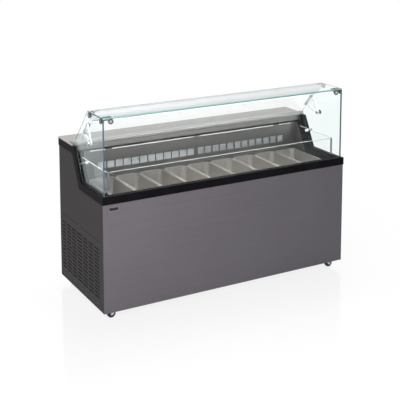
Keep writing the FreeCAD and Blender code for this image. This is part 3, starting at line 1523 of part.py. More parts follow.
def make_condenser():
    body = new_body("condenser")
    core_x, y = "0 - condenser_x - condenser_depth / 2", "front + condenser_setback"
    block = rectangle(y, f"{y} + condenser_side", "machine_floor", "core_top")
    pad(body, "YZ", core_x, "condenser_depth", [block])
    groove = rectangle(f"{y} + groove_inset", f"{y} + groove_inset + groove_width",
                       "machine_floor + groove_margin", "core_top - groove_margin")
    first = cut(body, "YZ", f"{core_x} - past", "groove_reach + past", [groove])
    repeat(body, first, "Y", "groove_pitch", "groove_count")
    shroud = f"{core_x} + condenser_depth"
    pad(body, "YZ", shroud, "shroud_depth", [block])
    opening = ("fan_y", "fan_z", "fan_radius + fan_play")
    cut(body, "YZ", shroud, "shroud_depth + past", [], [opening])
    return keep(body)


def make_condenser_motor():
    """The motor hangs on a strap across the shroud; its shaft carries the fan."""
    start = "strap_x + neck_length"
    barrel = cylinder("motor_barrel", "X", "motor_radius", "motor_length",
                      start, "fan_y", "fan_z")
    shaft = cylinder("motor_shaft", "X", "shaft_radius", f"{start} - (fan_x)",
                     "fan_x", "fan_y", "fan_z")
    reach = "condenser_side / 2"
    strap = box("motor_strap", "strap_x", "strap_x + strap_plate", f"fan_y - {reach}",
                f"fan_y + {reach}", "fan_z - strap_half", "fan_z + strap_half")
    neck = cylinder("motor_neck", "X", "neck_radius", "neck_length",
                    "strap_x", "fan_y", "fan_z")
    return keep(join("condenser_motor", [barrel, shaft, strap, neck]))


def make_condenser_fan():
    """A hub with blades pitched to its plane, trimmed round."""
    hub = cylinder("fan_hub", "X", "hub_radius", "fan_depth", "fan_x", "fan_y", "fan_z")
    blades = []
    count = int(value("fan_blades"))
    for number in range(count):
        blade = doc.addObject("Part::Box", "fan_blade")
        bind(blade, "Length", "blade_plate")
        bind(blade, "Width", "blade_chord")
        bind(blade, "Height", "fan_radius")
        about = FreeCAD.Rotation(Vector(1, 0, 0), 360 * number / count)
        pitch = FreeCAD.Rotation(Vector(0, 0, 1), value("blade_pitch"))
        turn = about.multiply(pitch)
        corner = Vector(-value("blade_plate / 2"), -value("blade_chord / 2"), 0)
        middle = Vector(value("fan_x + fan_depth / 2"), value("fan_y"), value("fan_z"))
        blade.Placement = FreeCAD.Placement(middle + turn.multVec(corner), turn)
        blades.append(blade)
    disc = cylinder("fan_disc", "X", "fan_radius", "fan_depth", "fan_x", "fan_y", "fan_z")
    trimmed = doc.addObject("Part::MultiCommon", "fan_trimmed")
    trimmed.Shapes = [join("fan_blades", blades), disc]
    wheel = join("fan_wheel", [hub, trimmed])
    bore = cylinder("fan_bore", "X", "shaft_radius + pin_play", "fan_depth + 2 * past",
                    "fan_x - past", "fan_y", "fan_z")
    return keep(subtract("condenser_fan", wheel, bore))


def make_compressor():
    body = new_body("compressor")
    bind_place(body, "0 - compressor_x", "compressor_y", "machine_floor")
    shell = ("0", "0", "compressor_radius")
    pad(body, "XY", "foot_height", "compressor_height", [], [shell])
    big = value("compressor_radius")

    def crown(edge):
        return (edge.Curve.TypeId == "Part::GeomCircle"
                and abs(edge.Curve.Radius - big) < 0.01)

    round_edges(body, "crown_radius", crown)
    half_x, half_y = "mount_length / 2", "mount_width / 2"
    plate = rectangle(f"0 - {half_x}", half_x, f"0 - {half_y}", half_y)
    pad(body, "XY", "foot_height", "mount_plate", [plate])
    feet = [(signed(x_sign, f"{half_x} - foot_inset"),
             signed(y_sign, f"{half_y} - foot_inset"), "foot_radius")
            for x_sign in ("", "0 - ") for y_sign in ("", "0 - ")]
    pad(body, "XY", "0", "foot_height", [], feet)
    stub = "pipe_radius + stub_wall"
    stubs = [("0", "0", stub), ("compressor_x - discharge_x", "discharge_y", stub)]
    pad(body, "XY", "foot_height + compressor_height - crown_radius",
        "crown_radius + stub_height", [], stubs)
    return keep(body)


def bent_pipe(label, points):
    """A round pipe along straight runs with an arc at each turn."""
    spots = [Vector(value(x), value(y), value(z)) for x, y, z in points]
    bend = value("pipe_bend")
    edges = []
    here = spots[0]
    for before, corner, after in zip(spots, spots[1:], spots[2:]):
        back = (before - corner).normalize()
        ahead = (after - corner).normalize()
        first, last = corner + back * bend, corner + ahead * bend
        inward = (back + ahead).normalize()
        middle = corner + inward * bend * (math.sqrt(2) - 1)
        edges += [Part.makeLine(here, first), Part.Arc(first, middle, last).toShape()]
        here = last
    edges.append(Part.makeLine(here, spots[-1]))
    section = Part.makeCircle(value("pipe_radius"), spots[0], spots[1] - spots[0])
    pipe = doc.addObject("Part::Feature", label)
    pipe.Shape = Part.Wire(edges).makePipeShell([Part.Wire(section)], True, False)
    return pipe


def make_pipework():
    """Suction, discharge and liquid pipes; every turn is square."""
    stub = "machine_floor + foot_height + compressor_height + stub_height"
    suction = cylinder("suction_pipe", "Z", "pipe_radius", f"(coil_z) - side_play - ({stub})",
                       "0 - compressor_x", "compressor_y", stub)
    discharge = bent_pipe("discharge_pipe", [
        ("0 - discharge_x", "discharge_row", stub),
        ("0 - discharge_x", "discharge_row", "pipe_level"),
        ("0 - condenser_x", "discharge_row", "pipe_level"),
        ("0 - condenser_x", "discharge_row", "core_top")])
    liquid = bent_pipe("liquid_pipe", [
        ("0 - condenser_x", "liquid_row", "core_top"),
        ("0 - condenser_x", "liquid_row", "pipe_level"),
        ("0 - liquid_x", "liquid_row", "pipe_level"),
        ("0 - liquid_x", "liquid_row", "coil_z - side_play")])
    return keep(gather("pipework", [suction, discharge, liquid]))


# ----------------------------------------------------- evaporator and duct

def make_evaporator():
    body = new_body("evaporator")
    y0 = "front + coil_setback"
    half = "coil_half_length"
    tubes = []
    for number in range(int(value("tube_count"))):
        y = f"{y0} + coil_depth * ({number} + 0.5) / tube_count"
        tubes.append((y, "coil_z + coil_height / 2", "tube_radius"))
    fin = rectangle(y0, f"{y0} + coil_depth", "coil_z", "coil_z + coil_height")
    pad(body, "YZ", f"0 - {half}", f"2 * {half}", [], tubes)
    first = pad(body, "YZ", f"0 - {half}", "fin_plate", [fin])
    repeat(body, first, "X", f"(2 * {half} - fin_plate) / (fin_count - 1)", "fin_count")
    leg = rectangle(y0, f"{y0} + coil_depth", "liner_z + sheet", "coil_z")
    for side, sign in SIDES:
        pad(body, "YZ", on_side(sign, f"{half} - fin_plate", half), "fin_plate", [leg])
    return keep(body)


def make_blower_motor():
    barrel = cylinder("blower_barrel", "X", "blower_radius", "2 * blower_half",
                      "0 - blower_half", "rotor_y", "rotor_z")
    low, high = "rotor_z - bracket_half", "rotor_z + bracket_half"
    rear = "duct_y - sheet"
    bracket = box("blower_bracket", "bracket_inset - blower_half",
                  "blower_half - bracket_inset", "rotor_y", rear, low, high)
    bore = cylinder("blower_bore", "X", "rotor_shaft + pin_play", "2 * (blower_half + past)",
                    "0 - blower_half - past", "rotor_y", "rotor_z")
    motor = subtract("motor_body", join("motor_blank", [barrel, bracket]), bore)
    bearings = []
    for side, sign in SIDES:
        start = on_side(sign, "well_half - bearing", "well_half")
        block = box("bearing_block", start, f"{start} + bearing",
                    "rotor_y - bracket_half", rear, low, high)
        hole = cylinder("bearing_hole", "X", "rotor_shaft + pin_play", "bearing + 2 * past",
                        f"{start} - past", "rotor_y", "rotor_z")
        bearings.append(subtract(f"bearing_{side}", block, hole))
    return keep(gather("blower_motor", [motor] + bearings))


def make_blower_rotor():
    body = new_body("blower_rotor")
    bind_place(body, "0", "rotor_y", "rotor_z")
    reach = "well_half - shaft_play"
    pad(body, "YZ", f"0 - ({reach})", f"2 * ({reach})", [], [("0", "0", "rotor_shaft")])
    near, far = "rotor_start", "rotor_start + rotor_length"
    foot, rim = "rotor_radius - vane_depth", "rotor_radius - vane_rim"
    vane = [
        ("0 - vane_plate / 2", foot),
        ("vane_plate / 2", foot),
        ("vane_sweep + vane_plate / 2", rim),
        ("vane_sweep - vane_plate / 2", rim),
    ]
    disc = [("0", "0", "rotor_radius")]
    for side, sign in SIDES:
        for inner, outer in ((near, f"{near} + drum_plate"), (f"{far} - drum_plate", far)):
            pad(body, "YZ", on_side(sign, inner, outer), "drum_plate", [], disc)
        first = pad(body, "YZ", on_side(sign, near, far), "rotor_length", [vane])
        repeat_round(body, first, "X", "vane_count")
    return keep(body)


# ------------------------------------------------------------ the assembly

make_base_tray()
make_front_panel()
for side, sign in SIDES:
    make_side_panel(side, sign)
    make_louvre_panel(side, sign)
    make_rear_wall(side, sign)
    make_side_glass(side, sign)
make_back_panel()
make_insulation()
make_liner()
make_top_frame()
make_worktop()
make_worktop_lip()
make_hood_front()
make_name_plate()
make_pan_rack()
make_pans()
make_front_glass()
drill_top_glass(make_top_glass())
make_connectors()
make_lamp()
make_rear_flap()
make_flap_arms()
make_glass_studs()
make_inner_guard()
make_caster_plates()
for corner in CORNERS:
    make_fork(*corner)
    make_wheel(*corner)
make_controls()
make_condenser()
make_condenser_motor()
make_condenser_fan()
make_compressor()
make_pipework()
make_evaporator()
make_blower_motor()
make_blower_rotor()
doc.recompute()

for thing in doc.Objects:
    if {"Invalid", "Error"} & set(thing.State):
        raise RuntimeError(f"{thing.Label} is {thing.State}")
for thing in PARTS:
    if thing.Shape.isNull() or not thing.Shape.isValid():
        raise RuntimeError(f"{thing.Label} has no valid shape")

os.makedirs("parts", exist_ok=True)
for thing in PARTS:
    thing.Shape.exportStep(f"parts/{thing.Label}.step")
    extent = thing.Shape.BoundBox
    print(f"{thing.Label}: {len(thing.Shape.Solids)} solid(s), "
          f"{extent.XLength:.1f} x {extent.YLength:.1f} x {extent.ZLength:.1f}")
print(len(PARTS), "sub-parts")
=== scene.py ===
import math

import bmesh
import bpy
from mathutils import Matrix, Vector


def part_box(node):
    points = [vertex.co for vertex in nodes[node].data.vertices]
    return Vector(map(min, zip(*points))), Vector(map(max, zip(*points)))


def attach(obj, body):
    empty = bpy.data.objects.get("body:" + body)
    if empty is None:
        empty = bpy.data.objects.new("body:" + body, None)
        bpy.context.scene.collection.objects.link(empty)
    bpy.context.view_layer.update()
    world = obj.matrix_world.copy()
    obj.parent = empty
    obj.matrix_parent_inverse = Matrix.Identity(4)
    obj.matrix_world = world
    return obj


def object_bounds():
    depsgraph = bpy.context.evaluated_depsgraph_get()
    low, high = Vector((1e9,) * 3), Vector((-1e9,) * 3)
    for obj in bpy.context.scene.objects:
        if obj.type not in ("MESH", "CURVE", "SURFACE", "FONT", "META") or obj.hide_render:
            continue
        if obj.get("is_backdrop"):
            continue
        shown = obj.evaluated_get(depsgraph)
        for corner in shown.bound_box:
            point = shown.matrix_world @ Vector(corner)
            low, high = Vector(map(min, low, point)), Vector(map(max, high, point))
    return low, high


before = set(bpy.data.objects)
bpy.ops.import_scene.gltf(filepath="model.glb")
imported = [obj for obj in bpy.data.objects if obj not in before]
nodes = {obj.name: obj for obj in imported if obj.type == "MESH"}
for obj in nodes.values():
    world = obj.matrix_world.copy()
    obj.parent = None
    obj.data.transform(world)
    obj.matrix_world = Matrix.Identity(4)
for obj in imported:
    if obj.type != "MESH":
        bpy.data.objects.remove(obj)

# %% [markdown]
# # An ice cream dipping cabinet
# The solids come from CAD and stay as they are. This lesson dresses them: it
# gives every solid a procedural finish, adds the small pieces that a shop
# cabinet has, such as gaskets, rolled pan rims and screws, and sets up a plain
# studio. +X runs along the row of pans, +Y points to the server and +Z is up.
# Blender counts in metres. Sizes of small pieces are easier to read in
# millimetres, so MM turns one into the other.

MM = 0.001
cad_low, cad_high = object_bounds()
print("CAD box", [round(size, 4) for size in Vector(cad_high) - Vector(cad_low)])


def box_mm(node):
    """The low and the high corner of a CAD node's box, in millimetres."""
    return [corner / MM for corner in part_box(node)]


# %% [markdown]
# ## Building shader trees in code
# A material is a tree of nodes, and every wire between them could be drawn by
# hand. In code it is shorter: one helper adds a node and feeds its sockets,
# and a few more name the sums and mixes that come back in every finish.

# %% Helpers for shader trees
def feed(tree, socket, value):
    """Link an input to another node's socket, or give it a plain value."""
    if isinstance(value, bpy.types.NodeSocket):
        tree.links.new(value, socket)
    else:
        socket.default_value = value


def add(tree, kind, feeds=None, **settings):
    """Add a node. A feed is either another node's socket or a value."""
    node = tree.nodes.new(kind if "Node" in kind else "ShaderNode" + kind)
    for name, setting in settings.items():
        setattr(node, name, setting)
    for label, value in (feeds or {}).items():
        feed(tree, node.inputs[label], value)
    return node


def math_node(tree, operation, *values):
    """The result of a sum or a comparison of numbers."""
    return add(tree, "Math", dict(enumerate(values)), operation=operation).outputs[0]


def vector_node(tree, operation, *values):
    """The outputs of a sum of vectors: 0 is a vector, Value a number."""
    return add(tree, "VectorMath", dict(enumerate(values)), operation=operation).outputs


def mix_numbers(tree, share, first, second):
    """The number that lies between two others."""
    return add(tree, "Mix", {0: share, 2: first, 3: second}).outputs[0]


def mix_colours(tree, share, first, second):
    """The colour that lies between two others; a colour is a socket or RGB."""
    node = add(tree, "Mix", {0: share}, data_type="RGBA")
    for index, colour in ((6, first), (7, second)):
        feed(tree, node.inputs[index], (*colour, 1) if isinstance(colour, tuple) else colour)
    return node.outputs[2]


def span(tree, factor, low, high):
    """Turn a factor from 0 to 1 into a number from low to high."""
    node = add(tree, "MapRange", {"Value": factor, "To Min": low, "To Max": high})
    return node.outputs["Result"]


# %% [markdown]
# A group is a piece of tree with named inputs and outputs that several
# materials share, so that a mend in one place reaches them all.

# %% Helpers for groups
def new_group(name, inputs, outputs):
    """Start a shader group. Inputs are (name, type, value); outputs (name, type)."""
    group = bpy.data.node_groups.new(name, "ShaderNodeTree")
    for label, kind, default in inputs:
        socket = group.interface.new_socket(label, in_out="INPUT",
                                            socket_type="NodeSocket" + kind)
        socket.default_value = default
    for label, kind in outputs:
        group.interface.new_socket(label, in_out="OUTPUT", socket_type="NodeSocket" + kind)
    print("group", name, "gives", [label for label, kind in outputs])
    return group, group.nodes.new("NodeGroupInput").outputs, group.nodes.new("NodeGroupOutput")


def use_group(tree, group, feeds):
    """Put a group in a tree and return its outputs."""
    node = tree.nodes.new("ShaderNodeGroup")
    node.node_tree = group
    for label, value in feeds.items():
        feed(tree, node.inputs[label], value)
    return node.outputs


# %% [markdown]
# ## Three effects that many finishes share
# *Brushing* is what an abrasive belt leaves in steel: fine parallel lines. A
# noise that is squeezed across the grain and stretched along it looks the
# same, and it needs no picture. A second, wider noise adds broad streaks.

# %% The brushing group
brushing, given, result = new_group(
    "brushing",
    [("Grain", "Vector", (4, 900, 900)), ("Streaks", "Vector", (1, 90, 90)),
     ("Streak share", "Float", 0.35)],
    [("Lines", "Float")])
coords = add(brushing, "TexCoord").outputs["Object"]
fine = vector_node(brushing, "MULTIPLY", coords, given["Grain"])[0]
wide = vector_node(brushing, "MULTIPLY", coords, given["Streaks"])[0]
fine_noise = add(brushing, "TexNoise", {"Vector": fine, "Scale": 1.0, "Detail": 3.0})
wide_noise = add(brushing, "TexNoise", {"Vector": wide, "Scale": 1.0, "Detail": 2.0})
lines = mix_numbers(brushing, given["Streak share"], fine_noise.outputs["Fac"],
                    wide_noise.outputs["Fac"])
brushing.links.new(lines, result.inputs["Lines"])

# %% [markdown]
# *Handling* is what dust and wiping do to every painted sheet and moulding: a
# soft, large noise changes colour and gloss a little. A fine noise beside it
# stands for the texture of the surface itself.

# %% The handling group
handling, given, result = new_group(
    "handling",
    [("Patch size", "Float", 6.0), ("Speck size", "Float", 900.0),
     ("Speck share", "Float", 0.3)],
    [("Patches", "Float"), ("Specks", "Float")])
coords = add(handling, "TexCoord").outputs["Object"]
patches = add(handling, "TexNoise", {"Vector": coords, "Scale": given["Patch size"],
                                     "Detail": 3.0, "Roughness": 0.55})
specks = add(handling, "TexNoise", {"Vector": coords, "Scale": given["Speck size"],
                                    "Detail": 2.0})
both = mix_numbers(handling, given["Speck share"], patches.outputs["Fac"],
                   specks.outputs["Fac"])
handling.links.new(both, result.inputs["Patches"])
handling.links.new(specks.outputs["Fac"], result.inputs["Specks"])

# %% [markdown]
# *Cut edges* are where a clear pane shows its colour: none across its face,
# and much through its edge. The edges could be picked face by face, but the
# object-space normal tells a face from an edge on any pane.

# %% The cut edge group
cut_edge, given, result = new_group(
    "cut edge",
    [("Pane normal", "Vector", (0, 1, 0)), ("Face colour", "Color", (1, 1, 1, 1)),
     ("Edge colour", "Color", (0.3, 0.6, 0.6, 1))],
    [("Colour", "Color"), ("Edge", "Float")])
normal = add(cut_edge, "TexCoord").outputs["Normal"]
across = vector_node(cut_edge, "DOT_PRODUCT", normal, given["Pane normal"])["Value"]
edge = math_node(cut_edge, "LESS_THAN", math_node(cut_edge, "ABSOLUTE", across), 0.5)
tint = mix_colours(cut_edge, edge, given["Face colour"], given["Edge colour"])
cut_edge.links.new(tint, result.inputs["Colour"])
cut_edge.links.new(edge, result.inputs["Edge"])

# %% [markdown]
# ## Two families of finish
# Nearly everything on the cabinet is either brushed metal or a moulded or
# painted surface. Each family is one helper: noise moves the colour between a
# dark and a light limit, moves the roughness with it, and lifts a faint bump.

# %% Helpers for finishes
def new_material(name, **sockets):
    """A material with one Principled shader; constants go on its own sockets."""
    material = bpy.data.materials.new(name)
    material.use_nodes = True
    tree = material.node_tree
    shader = tree.nodes["Principled BSDF"]
    for label, setting in sockets.items():
        value = (*setting, 1) if isinstance(setting, tuple) else setting
        shader.inputs[label.replace("_", " ")].default_value = value
    return material, tree, shader


def spread_marks(tree, shader, marks, limits, dark, light, rough):
    """Let marks between two limits move the colour and the roughness."""
    contrast = add(tree, "MapRange", {"Value": marks, "From Min": limits[0],
                                      "From Max": limits[1]})
    share = contrast.outputs["Result"]
    tree.links.new(mix_colours(tree, share, dark, light), shader.inputs["Base Color"])
    tree.links.new(span(tree, share, *rough), shader.inputs["Roughness"])


def give_bump(tree, shader, height, distance):
    """Raise the surface by a height that varies."""
    bump = add(tree, "Bump", {"Height": height, "Distance": distance, "Strength": 0.5})
    tree.links.new(bump.outputs["Normal"], shader.inputs["Normal"])


def brushed(name, dark, light, rough, grain, streaks, streak_share=0.35, depth=0.02 * MM,
            metal=1.0):
    """Metal brushed along the direction in which grain and streaks are stretched."""
    material, tree, shader = new_material(name, Metallic=metal)
    lines = use_group(tree, brushing, {"Grain": grain, "Streaks": streaks,
                                       "Streak share": streak_share})["Lines"]
    spread_marks(tree, shader, lines, (0.3, 0.7), dark, light, rough)
    give_bump(tree, shader, lines, depth)
    return material


def moulded(name, dark, light, rough, patch=6.0, speck=900.0, depth=0.03 * MM, **sockets):
    """Paint or plastic with soft patches and a fine texture."""
    material, tree, shader = new_material(name, **sockets)
    marks = use_group(tree, handling, {"Patch size": patch, "Speck size": speck})
    spread_marks(tree, shader, marks["Patches"], (0.35, 0.65), dark, light, rough)
    give_bump(tree, shader, marks["Specks"], depth)
    return material


def dress(material, *names):
    """Put a finish on CAD nodes."""
    for name in names:
        for slot in nodes[name].material_slots:
            slot.link = "OBJECT"
            slot.material = material
    print(material.name, "on", ", ".join(names))


def named(start):
    """The CAD nodes whose names begin alike."""
    return [name for name in nodes if name.startswith(start)]


# %% [markdown]
# ## The painted case
# The panels are sheet steel with a satin anthracite coat. Such a coat has a very fine horizontal
# texture, and its gloss drifts a little from place to place, so both shared effects are mixed. The
# sides get a darker copy of the same coat, which is painted shade, and the back, which stands in
# its own shade, a lighter copy, which is painted light.

# %% Panels
def coated_panel(name, dark, light, along, shine):
    """Satin coat with a fine horizontal texture along x or y."""
    material, tree, shader = new_material(name, Metallic=0.05, Specular_IOR_Level=shine)
    stretches = {"x": ((6, 700, 700), (1.2, 60, 60)), "y": ((700, 6, 700), (60, 1.2, 60))}
    grain, streaks = stretches[along]
    lines = use_group(tree, brushing, {"Grain": grain, "Streaks": streaks,
                                       "Streak share": 0.4})["Lines"]
    patches = use_group(tree, handling, {"Patch size": 1.6, "Speck share": 0.15})["Patches"]
    marks = mix_numbers(tree, 0.45, lines, patches)
    spread_marks(tree, shader, marks, (0.35, 0.65), dark, light, (0.42, 0.52))
    give_bump(tree, shader, lines, 0.02 * MM)
    return material


front_coat = coated_panel("front_coat", (0.096, 0.088, 0.100), (0.116, 0.107, 0.120), "x", 0.16)
# The sides' coat is the front coat made darker: painted shade.
side_coat = coated_panel("side_coat", (0.025, 0.022, 0.024), (0.034, 0.031, 0.033), "y", 0.05)
# The back's coat is made lighter: painted light against its own shade.
back_coat = coated_panel("back_coat", (0.115, 0.110, 0.122), (0.135, 0.129, 0.142), "x", 0.30)
dress(front_coat, "front_panel")
dress(side_coat, *named("side_panel"), *named("louvre_panel"))
dress(back_coat, "back_panel")

# %% [markdown]
# ## Black mouldings
# The frame round the top, the rack under the pans and the controls are black
# plastics. Plain black would look like a hole, so each has soft patches and a
# little gloss. The frame is the dullest, because it is the largest.

# %% Black mouldings
trim_black = moulded("trim_black", (0.003, 0.003, 0.004), (0.006, 0.006, 0.007), (0.45, 0.55),
                     Specular_IOR_Level=0.03)
rack_black = moulded("rack_black", (0.03, 0.03, 0.032), (0.05, 0.05, 0.052), (0.35, 0.5))
control_black = moulded("control_black", (0.015, 0.015, 0.016), (0.028, 0.028, 0.03),
                        (0.32, 0.45), patch=30.0)
dress(trim_black, "top_frame")
dress(rack_black, "pan_rack")
dress(control_black, "control_fascia", "thermostat", "cable_gland")

# %% [markdown]
# ## Stainless steel sheets
# The worktop, its lip, the hood, the rear wall and the liner are brushed along X. Each gets its own
# stretch of the same brushing noise and its own tone. The much darker tones of the rear wall and
# the hood are painted shade, for the shade they stand in under the worktop and its lip.

# %% Steel sheets
ALONG_X = {"grain": (5, 1100, 1100), "streaks": (1.5, 110, 110)}
worktop_steel = brushed("worktop_steel", (0.42, 0.405, 0.39), (0.52, 0.505, 0.49),
                        (0.34, 0.46), **ALONG_X)
# The rear wall's dark steel is painted shade.
wall_steel = brushed("wall_steel", (0.21, 0.205, 0.20), (0.27, 0.265, 0.26),
                     (0.36, 0.44), depth=0.004 * MM, **ALONG_X)
# The hood's dark steel is painted shade.
hood_steel = brushed("hood_steel", (0.28, 0.27, 0.26), (0.35, 0.34, 0.33),
                     (0.34, 0.44), **ALONG_X)
liner_steel = brushed("liner_steel", (0.48, 0.48, 0.475), (0.62, 0.62, 0.615),
                      (0.25, 0.36), **ALONG_X)
dress(worktop_steel, "worktop", "worktop_lip")
dress(wall_steel, *named("rear_wall"))
dress(hood_steel, "hood_front")
dress(liner_steel, "tub_liner")

# %% [markdown]
# ## The pans
# A pan is drawn from one sheet and then tumbled, so its inside is satin and
# has hardly any grain. A wide roughness spreads the light of the cabinet's
# own lamp into the soft upright glow that stands in the rear corners.

# %% Pans
pan_steel = brushed("pan_steel", (0.50, 0.48, 0.46), (0.60, 0.575, 0.55), (0.42, 0.50),
                    grain=(40, 12, 20), streaks=(14, 4, 6), streak_share=0.5,
                    depth=0.002 * MM)
pans = [name for name in named("pan_") if name != "pan_rack"]
dress(pan_steel, *pans)

# %% [markdown]
# ## Other metals
# Casters and small screws are zinc plated, which looks patchy rather than
# brushed, so zinc and copper use the moulded helper with a metallic shader.
# The tray is near black, which is painted shade, so that it stays unseen behind the louvres. The
# glass clamps are turned steel, whose grain runs the same way all round.

# %% Other metals
zinc = moulded("zinc_plate", (0.50, 0.51, 0.52), (0.64, 0.65, 0.66), (0.25, 0.42),
               patch=60.0, speck=1500.0, Metallic=1.0)
# The tray's near-black colour is painted shade behind the louvres.
tray_grey = moulded("tray_grey", (0.012, 0.012, 0.013), (0.020, 0.020, 0.021), (0.4, 0.55),
                    patch=25.0)
bare_aluminium = brushed("bare_aluminium", (0.62, 0.625, 0.63), (0.78, 0.785, 0.79),
                         (0.28, 0.4), **ALONG_X)
copper = moulded("copper_pipe", (0.60, 0.26, 0.14), (0.78, 0.38, 0.22), (0.22, 0.4),
                 patch=40.0, Metallic=1.0)
clamp_steel = brushed("clamp_steel", (0.13, 0.12, 0.115), (0.26, 0.25, 0.24), (0.22, 0.34),
                      grain=(200, 200, 200), streaks=(50, 50, 50), depth=0.004 * MM)
dress(zinc, "caster_plates", *named("caster_fork"))
dress(tray_grey, "base_tray")
dress(bare_aluminium, "evaporator", "condenser", "blower_rotor")
dress(copper, "pipework")
dress(clamp_steel, "glass_connectors")

# %% [markdown]
# ## Rubber, enamel, foam and small plastics
# These differ only in colour, gloss and texture: tyres are dull and rough,
# the enamel of the machine has a clear coat, and foam has deep, coarse
# specks. The cover of the lamp is frosted, so a little light spreads in it.

# %% Rubber, enamel, foam and small plastics
tyre_rubber = moulded("tyre_rubber", (0.006, 0.006, 0.006), (0.014, 0.014, 0.014),
                      (0.55, 0.75), patch=80.0, depth=0.08 * MM)
machine_enamel = moulded("machine_enamel", (0.008, 0.008, 0.009), (0.014, 0.014, 0.015),
                         (0.18, 0.32), patch=20.0, Coat_Weight=0.3)
fan_plastic = moulded("fan_plastic", (0.02, 0.02, 0.02), (0.035, 0.035, 0.035), (0.4, 0.55))
foam = moulded("tub_foam", (0.62, 0.50, 0.25), (0.80, 0.68, 0.38), (0.8, 0.95),
               patch=30.0, speck=260.0, depth=0.6 * MM)
key_plastic = moulded("key_plastic", (0.22, 0.22, 0.23), (0.28, 0.28, 0.29), (0.3, 0.4),
                      patch=50.0)
plate_black = moulded("plate_black", (0.010, 0.010, 0.011), (0.020, 0.020, 0.022),
                      (0.3, 0.4), patch=60.0, Specular_IOR_Level=0.25)
lamp_white = moulded("lamp_white", (0.62, 0.62, 0.63), (0.68, 0.68, 0.69), (0.35, 0.5),
                     patch=12.0)
lamp_frost = moulded("lamp_frost", (0.66, 0.66, 0.68), (0.74, 0.74, 0.76), (0.35, 0.5),
                     patch=12.0, Subsurface_Weight=0.15)
dress(tyre_rubber, *named("caster_wheel"))
dress(machine_enamel, "compressor", "condenser_motor", "blower_motor")
dress(fan_plastic, "condenser_fan")
dress(foam, "tub_insulation")
dress(key_plastic, "button_up", "button_down", "light_switch")
dress(plate_black, "name_plate")
dress(lamp_white, "lamp_housing")
dress(lamp_frost, "lamp_diffuser")

# %% [markdown]
# ## Studs through the side panes
# The studs are one CAD node with two finishes: turned steel for the pivots of
# the flap, which sit high, and nylon for the knobs of the guard, which sit
# low and are pale inside the pane and dark outside it. Masks made from the
# height and from the distance to the middle choose, so the node stays whole.

# %% Studs through the side panes
def stud_finish(split, inner_end):
    """Steel above the split; nylon below it, pale up to the inner end."""
    material, tree, shader = new_material("stud_finish", Roughness=0.28)
    place = add(tree, "SeparateXYZ", {0: add(tree, "TexCoord").outputs["Object"]}).outputs
    high = math_node(tree, "GREATER_THAN", place["Z"], split)
    inside = math_node(tree, "LESS_THAN", math_node(tree, "ABSOLUTE", place["X"]), inner_end)
    marks = use_group(tree, handling, {"Patch size": 90.0, "Speck size": 1800.0})
    steel = mix_colours(tree, marks["Patches"], (0.26, 0.255, 0.25), (0.46, 0.455, 0.45))
    nylon = mix_colours(tree, inside, (0.05, 0.055, 0.058), (0.66, 0.69, 0.70))
    tree.links.new(mix_colours(tree, high, nylon, steel), shader.inputs["Base Color"])
    tree.links.new(high, shader.inputs["Metallic"])
    give_bump(tree, shader, marks["Specks"], 0.02 * MM)
    return material


dress(stud_finish(split=0.92, inner_end=0.790), "glass_studs")

# %% [markdown]
# ## Glass and acrylic
# Float glass has a trace of iron: nothing shows through its face, but its cut
# edges turn teal. Acrylic has almost none, and its sawn edges are a little
# frosted. Light from lamps passes straight through both, by a Transparent
# shader for shadow rays, because a path tracer is slow to find light that is
# bent by a flat pane. The side panes mirror a cooler light than the others.

# %% Clear panes
def pass_lamps(tree, shader):
    """Let the light of lamps go straight through a clear finish."""
    straight = add(tree, "BsdfTransparent", {"Color": (0.97, 0.99, 0.99, 1)})
    lamp_rays = add(tree, "LightPath").outputs["Is Shadow Ray"]
    shown = add(tree, "MixShader", {0: lamp_rays, 1: shader.outputs[0],
                                    2: straight.outputs[0]})
    tree.links.new(shown.outputs[0], tree.nodes["Material Output"].inputs["Surface"])


def clear_pane(name, pane_normal, face, edge_tint, ior, edge_rough, sheen=(1, 1, 1)):
    """A flat pane; sheen tints what its faces mirror."""
    material, tree, shader = new_material(name, Transmission_Weight=1.0, IOR=ior,
                                          Specular_Tint=sheen)
    parts = use_group(tree, cut_edge, {"Pane normal": pane_normal,
                                       "Face colour": (*face, 1),
                                       "Edge colour": (*edge_tint, 1)})
    tree.links.new(parts["Colour"], shader.inputs["Base Color"])
    smear = use_group(tree, handling, {"Patch size": 4.0, "Speck share": 0.0})["Patches"]
    rough = mix_numbers(tree, parts["Edge"], span(tree, smear, 0.0, 0.012), edge_rough)
    tree.links.new(rough, shader.inputs["Roughness"])
    pass_lamps(tree, shader)
    return material


GLASS = {"face": (0.980, 1.0, 0.997), "edge_tint": (0.16, 0.42, 0.40), "ior": 1.5,
         "edge_rough": 0.06, "sheen": (0.12, 0.12, 0.12)}
SIDE_GLASS = {**GLASS, "face": (0.94, 1.0, 0.995), "ior": 1.25, "sheen": (0.2, 0.8, 1.0)}
ACRYLIC = {"face": (0.99, 0.995, 0.995), "edge_tint": (0.80, 0.86, 0.87), "ior": 1.45,
           "edge_rough": 0.28}
FLAP = {**ACRYLIC, "ior": 1.18}
flap_low, flap_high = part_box("rear_flap")
flap_size = flap_high - flap_low
flap_lean = math.atan2(flap_size.z, flap_size.y)
flap_out = Vector((0, math.sin(flap_lean), math.cos(flap_lean)))
dress(clear_pane("front_glass", (0, 1, 0), **GLASS), "front_glass")
dress(clear_pane("top_glass", (0, 0, 1), **GLASS), "top_glass")
dress(clear_pane("side_glass", (1, 0, 0), **SIDE_GLASS), *named("side_glass"))
dress(clear_pane("arm_acrylic", (1, 0, 0), **ACRYLIC), "flap_arms")
dress(clear_pane("flap_acrylic", tuple(flap_out), **FLAP), "rear_flap")
print("flap leans", round(math.degrees(flap_lean), 1), "degrees")

# %% [markdown]
# The guard in front of the pans is one acrylic sheet bent into a U, so no
# single direction is across its faces. Its top edge looks up and its faces
# never do: the same group is given +Z, and the two colours change places.

